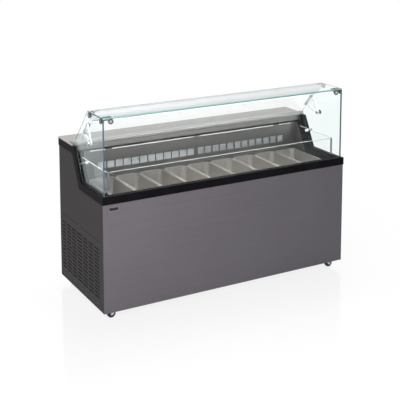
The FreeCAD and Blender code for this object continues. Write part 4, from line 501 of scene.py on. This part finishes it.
# %% The bent guard
def guard_acrylic():
    """Clear upright faces, and frosted edges that look up or down."""
    material, tree, shader = new_material("guard_acrylic", Transmission_Weight=1.0, IOR=1.2,
                                          Specular_Tint=(0.3, 0.4, 0.4))
    parts = use_group(tree, cut_edge, {"Pane normal": (0, 0, 1),
                                       "Face colour": (0.80, 0.86, 0.87, 1),
                                       "Edge colour": (0.99, 0.995, 0.995, 1)})
    tree.links.new(parts["Colour"], shader.inputs["Base Color"])
    tree.links.new(span(tree, parts["Edge"], 0.28, 0.0), shader.inputs["Roughness"])
    pass_lamps(tree, shader)
    return material


dress(guard_acrylic(), "inner_guard")

# %% [markdown]
# ## Growing pieces with Geometry Nodes
# Screws, fins and rolled rims repeat, or follow a path. Each comes from a small tree of geometry
# nodes with named inputs. The tree grows the piece on a mesh of plain points or edges, and ends by
# turning its instances into real faces and giving them their finish. The result is then kept as a
# plain mesh, because a plain mesh rides on its body.

# %% Helpers for geometry trees
def new_geometry_tree(name, inputs):
    """Start a geometry tree. Inputs are (name, type)."""
    tree = bpy.data.node_groups.new(name, "GeometryNodeTree")
    tree.interface.new_socket("Geometry", in_out="INPUT", socket_type="NodeSocketGeometry")
    for label, kind in inputs:
        tree.interface.new_socket(label, in_out="INPUT", socket_type="NodeSocket" + kind)
    tree.interface.new_socket("Geometry", in_out="OUTPUT", socket_type="NodeSocketGeometry")
    return tree, tree.nodes.new("NodeGroupInput").outputs


def finish_tree(tree, geometry, finish):
    """Realise the instances, set the finish and send the result out."""
    real = add(tree, "GeometryNodeRealizeInstances", {"Geometry": geometry})
    dressed = add(tree, "GeometryNodeSetMaterial", {"Geometry": real.outputs[0],
                                                    "Material": finish})
    result = tree.nodes.new("NodeGroupOutput")
    tree.links.new(dressed.outputs[0], result.inputs[0])
    print("tree", tree.name, "has", len(tree.nodes), "nodes")


# %% Helpers for pieces
def new_object(name, mesh):
    """Put a mesh in the scene as an object."""
    item = bpy.data.objects.new(name, mesh)
    bpy.context.scene.collection.objects.link(item)
    return item


def settle(piece, body):
    """Keep what the modifiers make as a plain mesh, and let it ride on a body."""
    shaped = piece.evaluated_get(bpy.context.evaluated_depsgraph_get())
    plain = bpy.data.meshes.new_from_object(shaped)
    piece.modifiers.clear()
    piece.data = plain
    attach(piece, body)
    print(piece.name, len(plain.polygons), "faces on", body)


def grow(name, tree, body, slot, points, edges=(), **inputs):
    """Grow a piece on points or edges, given in millimetres; inputs are named
    as the tree's sockets."""
    mesh = bpy.data.meshes.new(name)
    mesh.from_pydata([Vector(point) * MM for point in points], edges, ())
    piece = new_object(name, mesh)
    growth = piece.modifiers.new("growth", "NODES")
    growth.node_group = tree
    for item in tree.interface.items_tree:
        setting = inputs.get(item.name.replace(" ", "_"))
        if item.in_out == "INPUT" and setting is not None:
            growth[item.identifier] = setting
    settle(piece, body)


# %% [markdown]
# A fastener is a low cone with a hexagon cut into it. With six sides and a
# small recess it is a hexagon nut. One tree serves every screw, because only
# its sizes and the way it faces differ.

# %% The fastener tree
fastener, given = new_geometry_tree("fastener", [
    ("Radius", "Float"), ("Height", "Float"), ("Sides", "Int"), ("Recess", "Float"),
    ("Facing", "Rotation"), ("Finish", "Material")])
head = add(fastener, "GeometryNodeMeshCone", {
    "Vertices": given["Sides"], "Depth": given["Height"],
    "Radius Top": math_node(fastener, "MULTIPLY", given["Radius"], 0.72),
    "Radius Bottom": given["Radius"]})
recess_radius = math_node(fastener, "MULTIPLY", given["Radius"], given["Recess"])
recess = add(fastener, "GeometryNodeMeshCone", {
    "Vertices": 6, "Depth": given["Height"],
    "Radius Top": recess_radius, "Radius Bottom": recess_radius})
lift = add(fastener, "CombineXYZ", {
    "Z": math_node(fastener, "MULTIPLY", given["Height"], 0.45)})
raised = add(fastener, "GeometryNodeTransform", {"Geometry": recess.outputs[0],
                                                 "Translation": lift.outputs[0]})
drilled = add(fastener, "GeometryNodeMeshBoolean", {"Mesh 1": head.outputs[0],
                                                    "Mesh 2": raised.outputs[0]},
              operation="DIFFERENCE")
spots = add(fastener, "GeometryNodeMeshToPoints", {"Mesh": given["Geometry"]})
heads = add(fastener, "GeometryNodeInstanceOnPoints", {
    "Points": spots.outputs[0], "Instance": drilled.outputs[0], "Rotation": given["Facing"]})
finish_tree(fastener, heads.outputs[0], given["Finish"])

# %% [markdown]
# A bead is a thin rod that follows a path: the rolled rim of a pan, the top
# edge of the guard, the gasket along the foot of a pane, or the rim of the
# bare plate. Its section is an oval of a stated width and height, and the
# corners of its path are rounded.

# %% The bead tree
bead, given = new_geometry_tree("bead", [
    ("Corner", "Float"), ("Width", "Float"), ("Height", "Float"), ("Finish", "Material")])
path = add(bead, "GeometryNodeMeshToCurve", {"Mesh": given["Geometry"]})
rounded = add(bead, "GeometryNodeFilletCurve", {
    "Curve": path.outputs[0], "Radius": given["Corner"], "Count": 8, "Limit Radius": True},
    mode="POLY")
ring = add(bead, "GeometryNodeCurvePrimitiveCircle", {"Resolution": 12, "Radius": 0.5})
oval = add(bead, "CombineXYZ", {"X": given["Width"], "Y": given["Height"], "Z": 1.0})
section = add(bead, "GeometryNodeTransform", {"Geometry": ring.outputs[0],
                                              "Scale": oval.outputs[0]})
rod = add(bead, "GeometryNodeCurveToMesh", {
    "Curve": rounded.outputs[0], "Profile Curve": section.outputs[0], "Fill Caps": True})
smooth = add(bead, "GeometryNodeSetShadeSmooth", {"Geometry": rod.outputs[0]})
finish_tree(bead, smooth.outputs[0], given["Finish"])

# %% [markdown]
# Deflectors, folds and bands are thin plates, alone or in a row. Their tree
# puts one plate on every point, turned as its input says.

# %% The plate tree
plates, given = new_geometry_tree("plates", [
    ("Size", "Vector"), ("Facing", "Rotation"), ("Finish", "Material")])
plate = add(plates, "GeometryNodeMeshCube", {"Size": given["Size"]})
spots = add(plates, "GeometryNodeMeshToPoints", {"Mesh": given["Geometry"]})
row = add(plates, "GeometryNodeInstanceOnPoints", {
    "Points": spots.outputs[0], "Instance": plate.outputs[0], "Rotation": given["Facing"]})
finish_tree(plates, row.outputs[0], given["Finish"])

# %% [markdown]
# The mat of painted shade behind the louvres is a pleated sheet. Its tree takes a flat grid, pushes
# every second row of points in, and gives the sheet a thickness.
# Pleats could be drawn as a profile, but a grid keeps their number an input.

# %% The pleat tree
pleats, given = new_geometry_tree("pleats", [
    ("Length", "Float"), ("Height", "Float"), ("Pleat", "Float"), ("Depth", "Float"),
    ("Place", "Vector"), ("Finish", "Material")])
grid = add(pleats, "GeometryNodeMeshGrid", {
    "Size X": given["Length"], "Size Y": given["Height"], "Vertices Y": 2,
    "Vertices X": math_node(pleats, "DIVIDE", given["Length"], given["Pleat"])})
turned = add(pleats, "GeometryNodeTransform", {
    "Geometry": grid.outputs[0], "Rotation": (math.pi / 2, 0, math.pi / 2)})
count = add(pleats, "GeometryNodeInputIndex").outputs[0]
inner_row = math_node(pleats, "GREATER_THAN", math_node(pleats, "MODULO", count, 4.0), 1.5)
shift = add(pleats, "CombineXYZ", {
    "X": math_node(pleats, "MULTIPLY", inner_row, given["Depth"])})
folded = add(pleats, "GeometryNodeSetPosition", {"Geometry": turned.outputs[0],
                                                 "Offset": shift.outputs[0]})
thick = add(pleats, "GeometryNodeExtrudeMesh", {
    "Mesh": folded.outputs[0], "Offset Scale": 1.0 * MM, "Individual": False})
back_face = add(pleats, "GeometryNodeFlipFaces", {"Mesh": folded.outputs[0]})
both_sides = pleats.nodes.new("GeometryNodeJoinGeometry")
pleats.links.new(thick.outputs["Mesh"], both_sides.inputs[0])
pleats.links.new(back_face.outputs[0], both_sides.inputs[0])
closed = add(pleats, "GeometryNodeMergeByDistance", {"Geometry": both_sides.outputs[0],
                                                     "Distance": 0.01 * MM})
placed = add(pleats, "GeometryNodeTransform", {"Geometry": closed.outputs[0],
                                               "Translation": given["Place"]})
finish_tree(pleats, placed.outputs[0], given["Finish"])

# %% [markdown]
# ## Pan rims
# A pan is drawn from sheet, so its rim isn't sharp: the sheet rolls over into
# the wall, and its outer edge is turned under. A bevel on the solid would
# change it, so two beads round each CAD pan give those soft edges instead,
# which catch a bright line of light.

# %% Rolled rims
def loop(low, high, height):
    """Four corners of a level rectangle, and the edges that join them."""
    points = [(low[0], low[1], height), (high[0], low[1], height),
              (high[0], high[1], height), (low[0], high[1], height)]
    return points, [(i, (i + 1) % 4) for i in range(4)]


rim_steel = brushed("rim_steel", (0.44, 0.43, 0.415), (0.54, 0.525, 0.51), (0.22, 0.30),
                    grain=(60, 60, 60), streaks=(12, 12, 12), depth=0.004 * MM)
RIM_WIDTH, WALL_CORNER, BEAD_INSET, BEAD_PROUD = 7.0, 34.0, 1.4, 0.1
ROLLS = (("inner", RIM_WIDTH - BEAD_INSET, 3.6), ("outer", BEAD_INSET, 2.8))
for pan in pans:
    low, high = box_mm(pan)
    for label, inset, thick in ROLLS:
        points, edges = loop((low.x + inset, low.y + inset), (high.x - inset, high.y - inset),
                             high.z - thick / 2 + BEAD_PROUD)
        grow(f"{pan}_{label}_rim", bead, pan, "steel", points, edges,
             Corner=(RIM_WIDTH + WALL_CORNER - inset) * MM, Width=thick * MM,
             Height=thick * MM, Finish=rim_steel)

# %% [markdown]
# ## The rear wall of the well
# Cold air comes out of slots in the rear wall. Behind each slot stands a
# bright deflector that leans back a little, so the slot shows as a pale bar.
# All of them are one piece, grown on points worked out from the slots.

# %% Deflectors behind the air slots
vane_steel = brushed("vane_steel", (0.62, 0.65, 0.68), (0.80, 0.83, 0.86), (0.25, 0.36),
                     grain=(30, 30, 30), streaks=(9, 9, 9), depth=0.004 * MM, metal=0.4)
SLOTS = {"first": 15.0, "pitch": 7.6, "group": 6, "group_pitch": 55.0, "groups": 12,
         "middle": 779.0, "height": 44.0}
VANE = {"lean": math.radians(8), "behind": 4.4, "width": 6.2, "thick": 0.8, "overlap": 1.06}
wall_rear = box_mm("rear_wall_right")[1].y
vane_spots = [(side * (SLOTS["first"] + SLOTS["group_pitch"] * group + SLOTS["pitch"] * slot),
               wall_rear + VANE["behind"], SLOTS["middle"])
              for side in (-1, 1) for group in range(SLOTS["groups"])
              for slot in range(SLOTS["group"])]
grow("air_deflectors", plates, "case", "steel", vane_spots,
     Size=(VANE["width"] * MM, VANE["thick"] * MM, SLOTS["height"] * VANE["overlap"] * MM),
     Facing=(-VANE["lean"], 0, 0), Finish=vane_steel)

# %% [markdown]
# Between the groups of slots the sheet is pressed into an upright rib, which
# stiffens it and shows as a thin bright line. A short bead stands for each.

# %% Pressed ribs between the groups of slots
polished = brushed("polished_fold", (0.66, 0.66, 0.66), (0.76, 0.76, 0.76), (0.14, 0.2),
                   grain=(40, 40, 40), streaks=(9, 9, 9), depth=0.004 * MM)
RIB = {"after": 8.5, "inset": 1.5, "half": 21.0, "width": 4.0}
group_width = SLOTS["pitch"] * (SLOTS["group"] - 1)
rib_x = [SLOTS["first"] + SLOTS["group_pitch"] * group + group_width + RIB["after"]
         for group in range(SLOTS["groups"] - 1)]
rib_points = [(side * x, wall_rear - RIB["inset"], SLOTS["middle"] + half)
              for side in (-1, 1) for x in rib_x for half in (-RIB["half"], RIB["half"])]
grow("pressed_ribs", bead, "case", "steel", rib_points,
     [(i, i + 1) for i in range(0, len(rib_points), 2)], Corner=0.0,
     Width=RIB["width"] * MM, Height=RIB["width"] * MM, Finish=polished)

# %% [markdown]
# The top edge of the wall is folded over into a polished hem, which three
# clips interrupt. Four leaning plates make its stretches between the clips.

# %% The hem
HEM = {"y": 101.6, "z": 876.0, "end": 719.0, "thick": 0.8, "tall": 5.6,
       "lean": math.radians(24)}
CLIP_X, CLIP_HALF = 602.0, 22.5
hem_spans = [(-HEM["end"], -CLIP_X - CLIP_HALF), (-CLIP_X + CLIP_HALF, -CLIP_HALF),
             (CLIP_HALF, CLIP_X - CLIP_HALF), (CLIP_X + CLIP_HALF, HEM["end"])]
for count, (start, end) in enumerate(hem_spans, start=1):
    grow(f"polished_hem_{count}", plates, "case", "bright_metal",
         [((start + end) / 2, HEM["y"], HEM["z"])],
         Size=((end - start) * MM, HEM["thick"] * MM, HEM["tall"] * MM),
         Facing=(-HEM["lean"], 0, 0), Finish=polished)

# %% [markdown]
# ## Behind the louvres
# A pleated, nearly black mat hides the machine from view. It is painted shade, so the louvres read
# as dark slots.

# %% Mats of painted shade
# Near black: painted shade behind the louvres.
mat_black = moulded("mat_black", (0.010, 0.010, 0.011), (0.018, 0.018, 0.019), (0.75, 0.9),
                    patch=40.0, speck=700.0, depth=0.3 * MM)
MAT = {"gap": 4.0, "length": 590.0, "height": 384.0, "pleat": 9.0, "depth": 5.0,
       "y": 20.0, "z": 244.0}
mat_x = abs(box_mm("louvre_panel_left")[0].x) - MAT["gap"]
for side, sign in (("left", -1), ("right", 1)):
    grow("dust_mat_" + side, pleats, "case", "black_plastic", [(0, 0, 0)],
         Length=MAT["length"] * MM, Height=MAT["height"] * MM, Pleat=MAT["pleat"] * MM,
         Depth=-sign * MAT["depth"] * MM, Finish=mat_black,
         Place=Vector((sign * mat_x, MAT["y"], MAT["z"])) * MM)

# %% [markdown]
# ## Cut edges of the panes
# The edge of a pane is ground flat and lets little light through. Its teal towards the front is the
# glass's own colour; the slate to the sides is painted shade and the pale up or back is painted
# light, as an edge looks darker or brighter by where it faces. Glass alone would leave that to
# chance reflections, so every edge gets a strip with its own finish.

# %% Edge finishes
def edge_finish(name, dark, light):
    """A smooth finish with little drift."""
    return moulded(name, dark, light, (0.12, 0.22), patch=14.0, speck=400.0, depth=0.01 * MM)


edge_teal = edge_finish("edge_teal", (0.135, 0.34, 0.325), (0.170, 0.405, 0.39))
# Slate for edges to the sides is painted shade.
edge_slate = edge_finish("edge_slate", (0.050, 0.100, 0.125), (0.075, 0.135, 0.160))
# Pale for edges up or back is painted light.
edge_pale = edge_finish("edge_pale", (0.46, 0.51, 0.52), (0.60, 0.65, 0.66))
edge_clear = edge_finish("edge_clear", (0.52, 0.55, 0.56), (0.66, 0.69, 0.70))
# This dim grey is painted shade for the guard's rounded top edge.
edge_dim = edge_finish("edge_dim", (0.14, 0.15, 0.16), (0.20, 0.21, 0.22))
edge_violet = edge_finish("edge_violet", (0.090, 0.080, 0.100), (0.130, 0.120, 0.140))

# %% [markdown]
# The faces of a strip are copied from the CAD pane, so they follow its holes
# and slopes, and a Solidify modifier lifts them by a hair. Faces of the pane
# itself are left out by their width.

# %% Strips over the edges
PANE_EDGE, SHEET_EDGE, SHORTEST, STRIP_THICK = 8.5, 5.5, 7.0, 0.15


def edge_strips(name, node, flat, widest, finishes, body="case",
                upward=-1.0):
    """flat gives the direction of a pane's faces. Faces that are wider, that point
    less upward than stated or that have no finish get no strip. The finishes are
    for faces to the front, the side and the rear."""
    form = bmesh.new()
    form.from_mesh(nodes[node].data)
    bmesh.ops.remove_doubles(form, verts=form.verts, dist=0.01 * MM)
    bmesh.ops.recalc_face_normals(form, faces=form.faces)

    def side_of(face):
        sideways = abs(face.normal.x) > 0.6
        return 1 if sideways else 0 if face.normal.y < -0.5 else 2

    def keeps(face):
        if finishes[side_of(face)] is None or face.normal.z < upward:
            return False
        spread = [corner.co.dot(flat) for corner in face.verts]
        if abs(face.normal.dot(flat)) > 0.5 or max(spread) - min(spread) > widest * MM:
            return False
        return max(edge.calc_length() for edge in face.edges) > SHORTEST * MM

    dropped = [face for face in form.faces if not keeps(face)]
    bmesh.ops.delete(form, geom=dropped, context="FACES")
    for face in form.faces:
        face.material_index = side_of(face)
    mesh = bpy.data.meshes.new(name)
    form.to_mesh(mesh)
    form.free()
    for finish in finishes:
        mesh.materials.append(finish or edge_pale)
    piece = new_object(name, mesh)
    strip = piece.modifiers.new("strip", "SOLIDIFY")
    strip.thickness = STRIP_THICK * MM
    strip.offset = 1.0
    settle(piece, body)


all_clear = (edge_clear, edge_clear, edge_clear)
edge_strips("front_pane_edges", "front_glass", Vector((0, 1, 0)), PANE_EDGE,
            (None, edge_slate, None))
edge_strips("top_pane_edges", "top_glass", Vector((0, 0, 1)), PANE_EDGE,
            (edge_teal, edge_slate, None))
for side in ("left", "right"):
    edge_strips(f"side_pane_{side}_edges", f"side_glass_{side}", Vector((1, 0, 0)), PANE_EDGE,
                (edge_slate, edge_slate, edge_pale))
edge_strips("guard_edges", "inner_guard", Vector((0, 0, 0)), SHEET_EDGE,
            all_clear, upward=0.2)
edge_strips("flap_edges", "rear_flap", flap_out, SHEET_EDGE, all_clear, "flap")
edge_strips("arm_edges", "flap_arms", Vector((1, 0, 0)), SHEET_EDGE, all_clear, "flap")

# %% [markdown]
# The top edge of the guard is rounded by hand, so that it can be wiped, and it reads as a dim line
# over the brighter strip. A bead follows it round the U; its dim grey is painted shade that stands
# in for how the clear, rounded edge bends the view.

# %% The guard's rounded top edge
guard_low, guard_high = box_mm("inner_guard")
ROUND = {"inset": 2.5, "drop": 2.0, "corner": 6.0, "width": 2.6}
rim_x = guard_high.x - ROUND["inset"]
rim_front = guard_low.y + ROUND["inset"]
rim_rear = guard_high.y - ROUND["drop"]
rim_z = guard_high.z - ROUND["drop"]
grow("guard_rim", bead, "case", "clear_plastic",
     [(-rim_x, rim_rear, rim_z), (-rim_x, rim_front, rim_z),
      (rim_x, rim_front, rim_z), (rim_x, rim_rear, rim_z)],
     [(0, 1), (1, 2), (2, 3)], Corner=ROUND["corner"] * MM, Width=ROUND["width"] * MM,
     Height=ROUND["width"] * MM, Finish=edge_dim)

# %% [markdown]
# Where the acrylic is bent it turns the view aside, so each bend reads as a
# dark, violet upright band. A thin plate against the inner side of the bend
# shows it. A mask in the guard's own finish would do it too, with more work.

# %% The guard's bends
BEND = {"inset": 8.5, "behind": 5.5, "low": 752.0, "high": 848.0, "width": 14.0, "thick": 1.0}
grow("guard_bend_bands", plates, "case", "clear_plastic",
     [(side * (guard_high.x - BEND["inset"]), guard_low.y + BEND["behind"],
       (BEND["low"] + BEND["high"]) / 2) for side in (-1, 1)],
     Size=(BEND["width"] * MM, BEND["thick"] * MM, (BEND["high"] - BEND["low"]) * MM),
     Facing=(0, 0, 0), Finish=edge_violet)

# %% [markdown]
# ## Small fittings
# The flap is screwed to its arms. The CAD screws share a node with the clear
# arms, so dark steel heads cover them, one row inside the flap and one
# outside. Their places follow the lean of the flap from its pivot.

# %% Screws of the flap
head_steel = brushed("head_steel", (0.07, 0.068, 0.066), (0.15, 0.147, 0.144), (0.18, 0.3),
                     grain=(300, 300, 300), streaks=(60, 60, 60), depth=0.004 * MM)
PIVOT = Vector((0, -91.0, 979.0))
SCREW_X, SCREW_HALF = 779.0, 40.5
down_flap = Vector((0, math.cos(flap_lean), -math.sin(flap_lean)))
for label, reach, turn in (("inner", 101.0, math.pi), ("outer", 111.0, 0.0)):
    heads = [PIVOT + Vector((side * SCREW_X, 0, 0)) + down_flap * along + flap_out * reach
             for side in (-1, 1) for along in (-SCREW_HALF, SCREW_HALF)]
    grow(f"flap_screws_{label}", fastener, "flap", "steel", heads, Radius=6.0 * MM,
         Height=3.4 * MM, Sides=24, Recess=0.45, Facing=(turn - flap_lean, 0, 0),
         Finish=head_steel)

# %% [markdown]
# The front clamps of the glass are tightened from the front, so a polished
# screw with a hexagon sits in the middle of each.

# %% Centre screws of the front clamps
clamp_x, clamp_y, clamp_z = 772.0, -323.8, 1155.0
grow("clamp_screws_front", fastener, "case", "bright_metal",
     [(side * clamp_x, clamp_y, clamp_z) for side in (-1, 1)], Radius=8.5 * MM,
     Height=1.5 * MM, Sides=24, Recess=0.35, Facing=(math.pi / 2, 0, 0), Finish=polished)

# %% [markdown]
# Zinc screws hold the back panel all round and the control fascia at its corners. The fascia's rows
# come from its box; those of the back panel stand on the panel's rear face, in listed columns and
# rows.

# %% Screws of the back panel and the fascia
panel_rear = box_mm("back_panel")[1].y
COLUMNS, ROWS, SIDE_ROWS = (-800.0, -400.0, 0.0, 400.0, 800.0), (66.0, 905.0), (280.0, 500.0, 700.0)
panel_screws = [(x, panel_rear, z) for x in COLUMNS for z in ROWS]
panel_screws += [(x, panel_rear, z) for x in (COLUMNS[0], COLUMNS[-1]) for z in SIDE_ROWS]
grow("back_panel_screws", fastener, "case", "zinc", panel_screws, Radius=4.5 * MM,
     Height=2.2 * MM, Sides=20, Recess=0.4, Facing=(-math.pi / 2, 0, 0), Finish=zinc)
fascia_low, fascia_high = box_mm("control_fascia")
FASCIA_INSET = 20.0
fascia_screws = [(x, fascia_high.y, z)
                 for x in (fascia_low.x + FASCIA_INSET, fascia_high.x - FASCIA_INSET)
                 for z in (fascia_low.z + FASCIA_INSET, fascia_high.z - FASCIA_INSET)]
grow("fascia_screws", fastener, "case", "zinc", fascia_screws, Radius=3.2 * MM,
     Height=1.4 * MM, Sides=16, Recess=0.42, Facing=(-math.pi / 2, 0, 0), Finish=zinc)

# %% [markdown]
# The panes stand in a black gasket, which shows as a thin bead along both
# sides of their feet and turns the corners with them.

# %% Gaskets of the panes
gasket_black = moulded("gasket_black", (0.012, 0.012, 0.013), (0.020, 0.020, 0.022),
                       (0.45, 0.6), patch=50.0)
glass_low, glass_high = box_mm("front_glass")
GASKET_Z, GASKET_REAR = 730.6, -22.0
for label, shift in (("outer", 0.7), ("inner", -8.7)):
    side = glass_high.x + shift
    front = glass_low.y - shift
    line = [(-side, GASKET_REAR, GASKET_Z), (-side, front, GASKET_Z),
            (side, front, GASKET_Z), (side, GASKET_REAR, GASKET_Z)]
    grow("glass_gasket_" + label, bead, "case", "black_plastic", line, [(0, 1), (1, 2), (2, 3)],
         Corner=1.5 * MM, Width=2.0 * MM, Height=2.6 * MM, Finish=gasket_black)

# %% [markdown]
# The plate on the front is bare. A bright bead frames it, with corners as
# round as the plate's own.

# %% The rim of the plate
plate_low, plate_high = box_mm("name_plate")
RIM_INSET = 0.6
rim_points = [(x, plate_low.y, z) for x, z in (
    (plate_low.x + RIM_INSET, plate_low.z + RIM_INSET),
    (plate_high.x - RIM_INSET, plate_low.z + RIM_INSET),
    (plate_high.x - RIM_INSET, plate_high.z - RIM_INSET),
    (plate_low.x + RIM_INSET, plate_high.z - RIM_INSET))]
grow("plate_rim", bead, "case", "bright_metal", rim_points,
     [(i, (i + 1) % 4) for i in range(4)], Corner=4.4 * MM, Width=1.2 * MM,
     Height=1.2 * MM, Finish=polished)

# %% [markdown]
# A nut closes each end of a wheel's axle. It belongs to the fork, so it rides
# on the swivel and stays still while the wheel rolls.

# %% Axle nuts
NUT_OUT = 3.7
for corner in ("front_left", "front_right", "rear_left", "rear_right"):
    low, high = box_mm("caster_wheel_" + corner)
    middle = (low + high) / 2
    for label, end, turn in (("front", low.y, -1), ("rear", high.y, 1)):
        grow(f"axle_nut_{corner}_{label}", fastener, "swivel_" + corner, "zinc",
             [(middle.x, end + turn * NUT_OUT, middle.z)], Radius=6.0 * MM, Height=3.2 * MM,
             Sides=6, Recess=0.3, Facing=(-turn * math.pi / 2, 0, 0), Finish=zinc)

# %% [markdown]
# ## The studio
# The world is white to the camera, to mirrors and to glass, and much weaker
# as a light, so that a colour renders about as written. A light box round the
# object could do the same, but rays that tell who is looking are simpler.

# %% World
def looks(tree):
    """1 for rays that look at something, and 0 for rays that only light it."""
    path = add(tree, "LightPath").outputs
    seen = math_node(tree, "MAXIMUM", path["Is Camera Ray"], path["Is Glossy Ray"])
    return math_node(tree, "MAXIMUM", seen, path["Is Transmission Ray"])


def studio_world(soft_light):
    """White to look at, and soft_light strong as a lamp."""
    world = bpy.data.worlds.new("studio")
    bpy.context.scene.world = world
    world.use_nodes = True
    ground = world.node_tree.nodes["Background"]
    strength = span(world.node_tree, looks(world.node_tree), soft_light, 1.0)
    world.node_tree.links.new(strength, ground.inputs["Strength"])
    ground.inputs["Color"].default_value = (1, 1, 1, 1)
    print("world lights with", soft_light)


studio_world(0.22)

# %% [markdown]
# The floor is a big white sheet that fades into the world. Near the object it
# keeps a share of its shadow, and a faint mirror image that fades away from
# the object's footprint, like polished white stone.

# %% Floor
def pale_floor(size, shadow_share, fade_start, fade_end, mirror_share, mirror_end, footprint):
    """White to the camera; near the object it keeps a share of shadow and shine."""
    mesh = bpy.data.meshes.new("floor")
    half = size / 2
    mesh.from_pydata([(-half, -half, 0), (half, -half, 0), (half, half, 0), (-half, half, 0)],
                     [], [(0, 1, 2, 3)])
    floor = new_object("floor", mesh)
    material, tree, shader = new_material("floor_white", Base_Color=(0.90, 0.90, 0.90),
                                          Roughness=0.16, Specular_IOR_Level=0.5)
    glow = add(tree, "Emission", {"Color": (1, 1, 1, 1), "Strength": 1.0})
    seen = looks(tree)
    spot = add(tree, "TexCoord").outputs["Object"]
    away = vector_node(tree, "LENGTH", spot)["Value"]
    near = add(tree, "MapRange", {"Value": away, "From Min": fade_start, "From Max": fade_end,
                                  "To Min": shadow_share, "To Max": 0.0}).outputs["Result"]
    share = math_node(tree, "MULTIPLY", seen, math_node(tree, "SUBTRACT", 1.0, near))
    shown = add(tree, "MixShader", {0: share, 1: shader.outputs[0], 2: glow.outputs[0]})
    mirror = add(tree, "BsdfGlossy", {"Color": (1, 1, 1, 1), "Roughness": 0.06})
    apart = vector_node(tree, "SUBTRACT", vector_node(tree, "ABSOLUTE", spot)[0], footprint)[0]
    apart = vector_node(tree, "MAXIMUM", apart, (0, 0, 0))[0]
    apart = vector_node(tree, "LENGTH", apart)["Value"]
    fade = add(tree, "MapRange", {"Value": apart, "From Min": 0.0, "From Max": mirror_end,
                                  "To Min": mirror_share, "To Max": 0.0},
               interpolation_type="SMOOTHSTEP").outputs["Result"]
    polish = math_node(tree, "MULTIPLY", seen, fade)
    shown = add(tree, "MixShader", {0: polish, 1: shown.outputs[0], 2: mirror.outputs[0]})
    tree.links.new(shown.outputs[0], tree.nodes["Material Output"].inputs["Surface"])
    mesh.materials.append(material)
    floor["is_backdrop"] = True
    print("floor", size, "m wide")


pale_floor(size=80.0, shadow_share=0.10, fade_start=0.8, fade_end=2.2, mirror_share=0.065,
           mirror_end=1.1, footprint=(cad_high[0], cad_high[1], 0))

# %% [markdown]
# Three large soft lamps stand round the object. Mirrors don't see them, or
# the glass and the steel would show hard white squares. The narrow one under
# the top pane is the cabinet's own lamp: it lights the wall and the pans, and
# the pans do mirror it.

# %% Lamps
def soft_lamp(name, place, target, size, power, mirrored=False):
    """A rectangular lamp that points at its target and isn't seen itself."""
    light = bpy.data.lights.new(name, "AREA")
    light.shape = "RECTANGLE"
    light.size, light.size_y = size
    light.energy = power
    lamp = new_object(name, light)
    lamp.location = place
    lamp.rotation_euler = (Vector(target) - Vector(place)).to_track_quat("-Z", "Y").to_euler()
    lamp.visible_camera = False
    lamp.visible_transmission = False
    lamp.visible_glossy = mirrored
    print("lamp", name, power, "W")


soft_lamp("key", place=(-2.2, -2.6, 1.9), target=(0, 0, 0.6), size=(1.6, 1.6), power=134)
soft_lamp("overhead", place=(0.3, 0.6, 3.6), target=(0, 0, 0.8), size=(3.2, 1.6), power=60)
soft_lamp("back_fill", place=(1.5, 4.0, 2.4), target=(0, 0, 0.7), size=(3.0, 2.0), power=90)
soft_lamp("own_lamp", place=(0, -0.105, 1.095), target=(0, -0.05, 0.6), size=(1.55, 0.05),
          power=7, mirrored=True)

# %% [markdown]
# The camera stands on the customer's side, to the left, with a long lens. It
# looks down only a little and shifts its lens instead, which keeps uprights
# nearly parallel, as a photographer of furniture does.

# %% Camera
def studio_camera(place, yaw, pitch, lens, shift):
    """A camera turned yaw degrees from +Y towards +X and pitch degrees down."""
    data = bpy.data.cameras.new("camera")
    data.lens = lens
    data.sensor_width = 36.0
    data.shift_y = shift
    camera = new_object("camera", data)
    camera.location = place
    camera.rotation_euler = (math.radians(90 - pitch), 0, math.radians(-yaw))
    bpy.context.scene.camera = camera
    print("camera with a lens of", lens, "mm")


studio_camera(place=(-2.8475, -5.0415, 2.4204), yaw=29.21, pitch=8.0, lens=85.99, shift=-0.441)
bpy.context.scene.view_settings.view_transform = "Standard"

# %% [markdown]
# ## Sizes before and after
# The small pieces must not make the object bigger than its solids, so the box is measured again and
# printed, as the first one was.

# %% The end
low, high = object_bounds()
print("dressed box", [round(size, 4) for size in Vector(high) - Vector(low)])
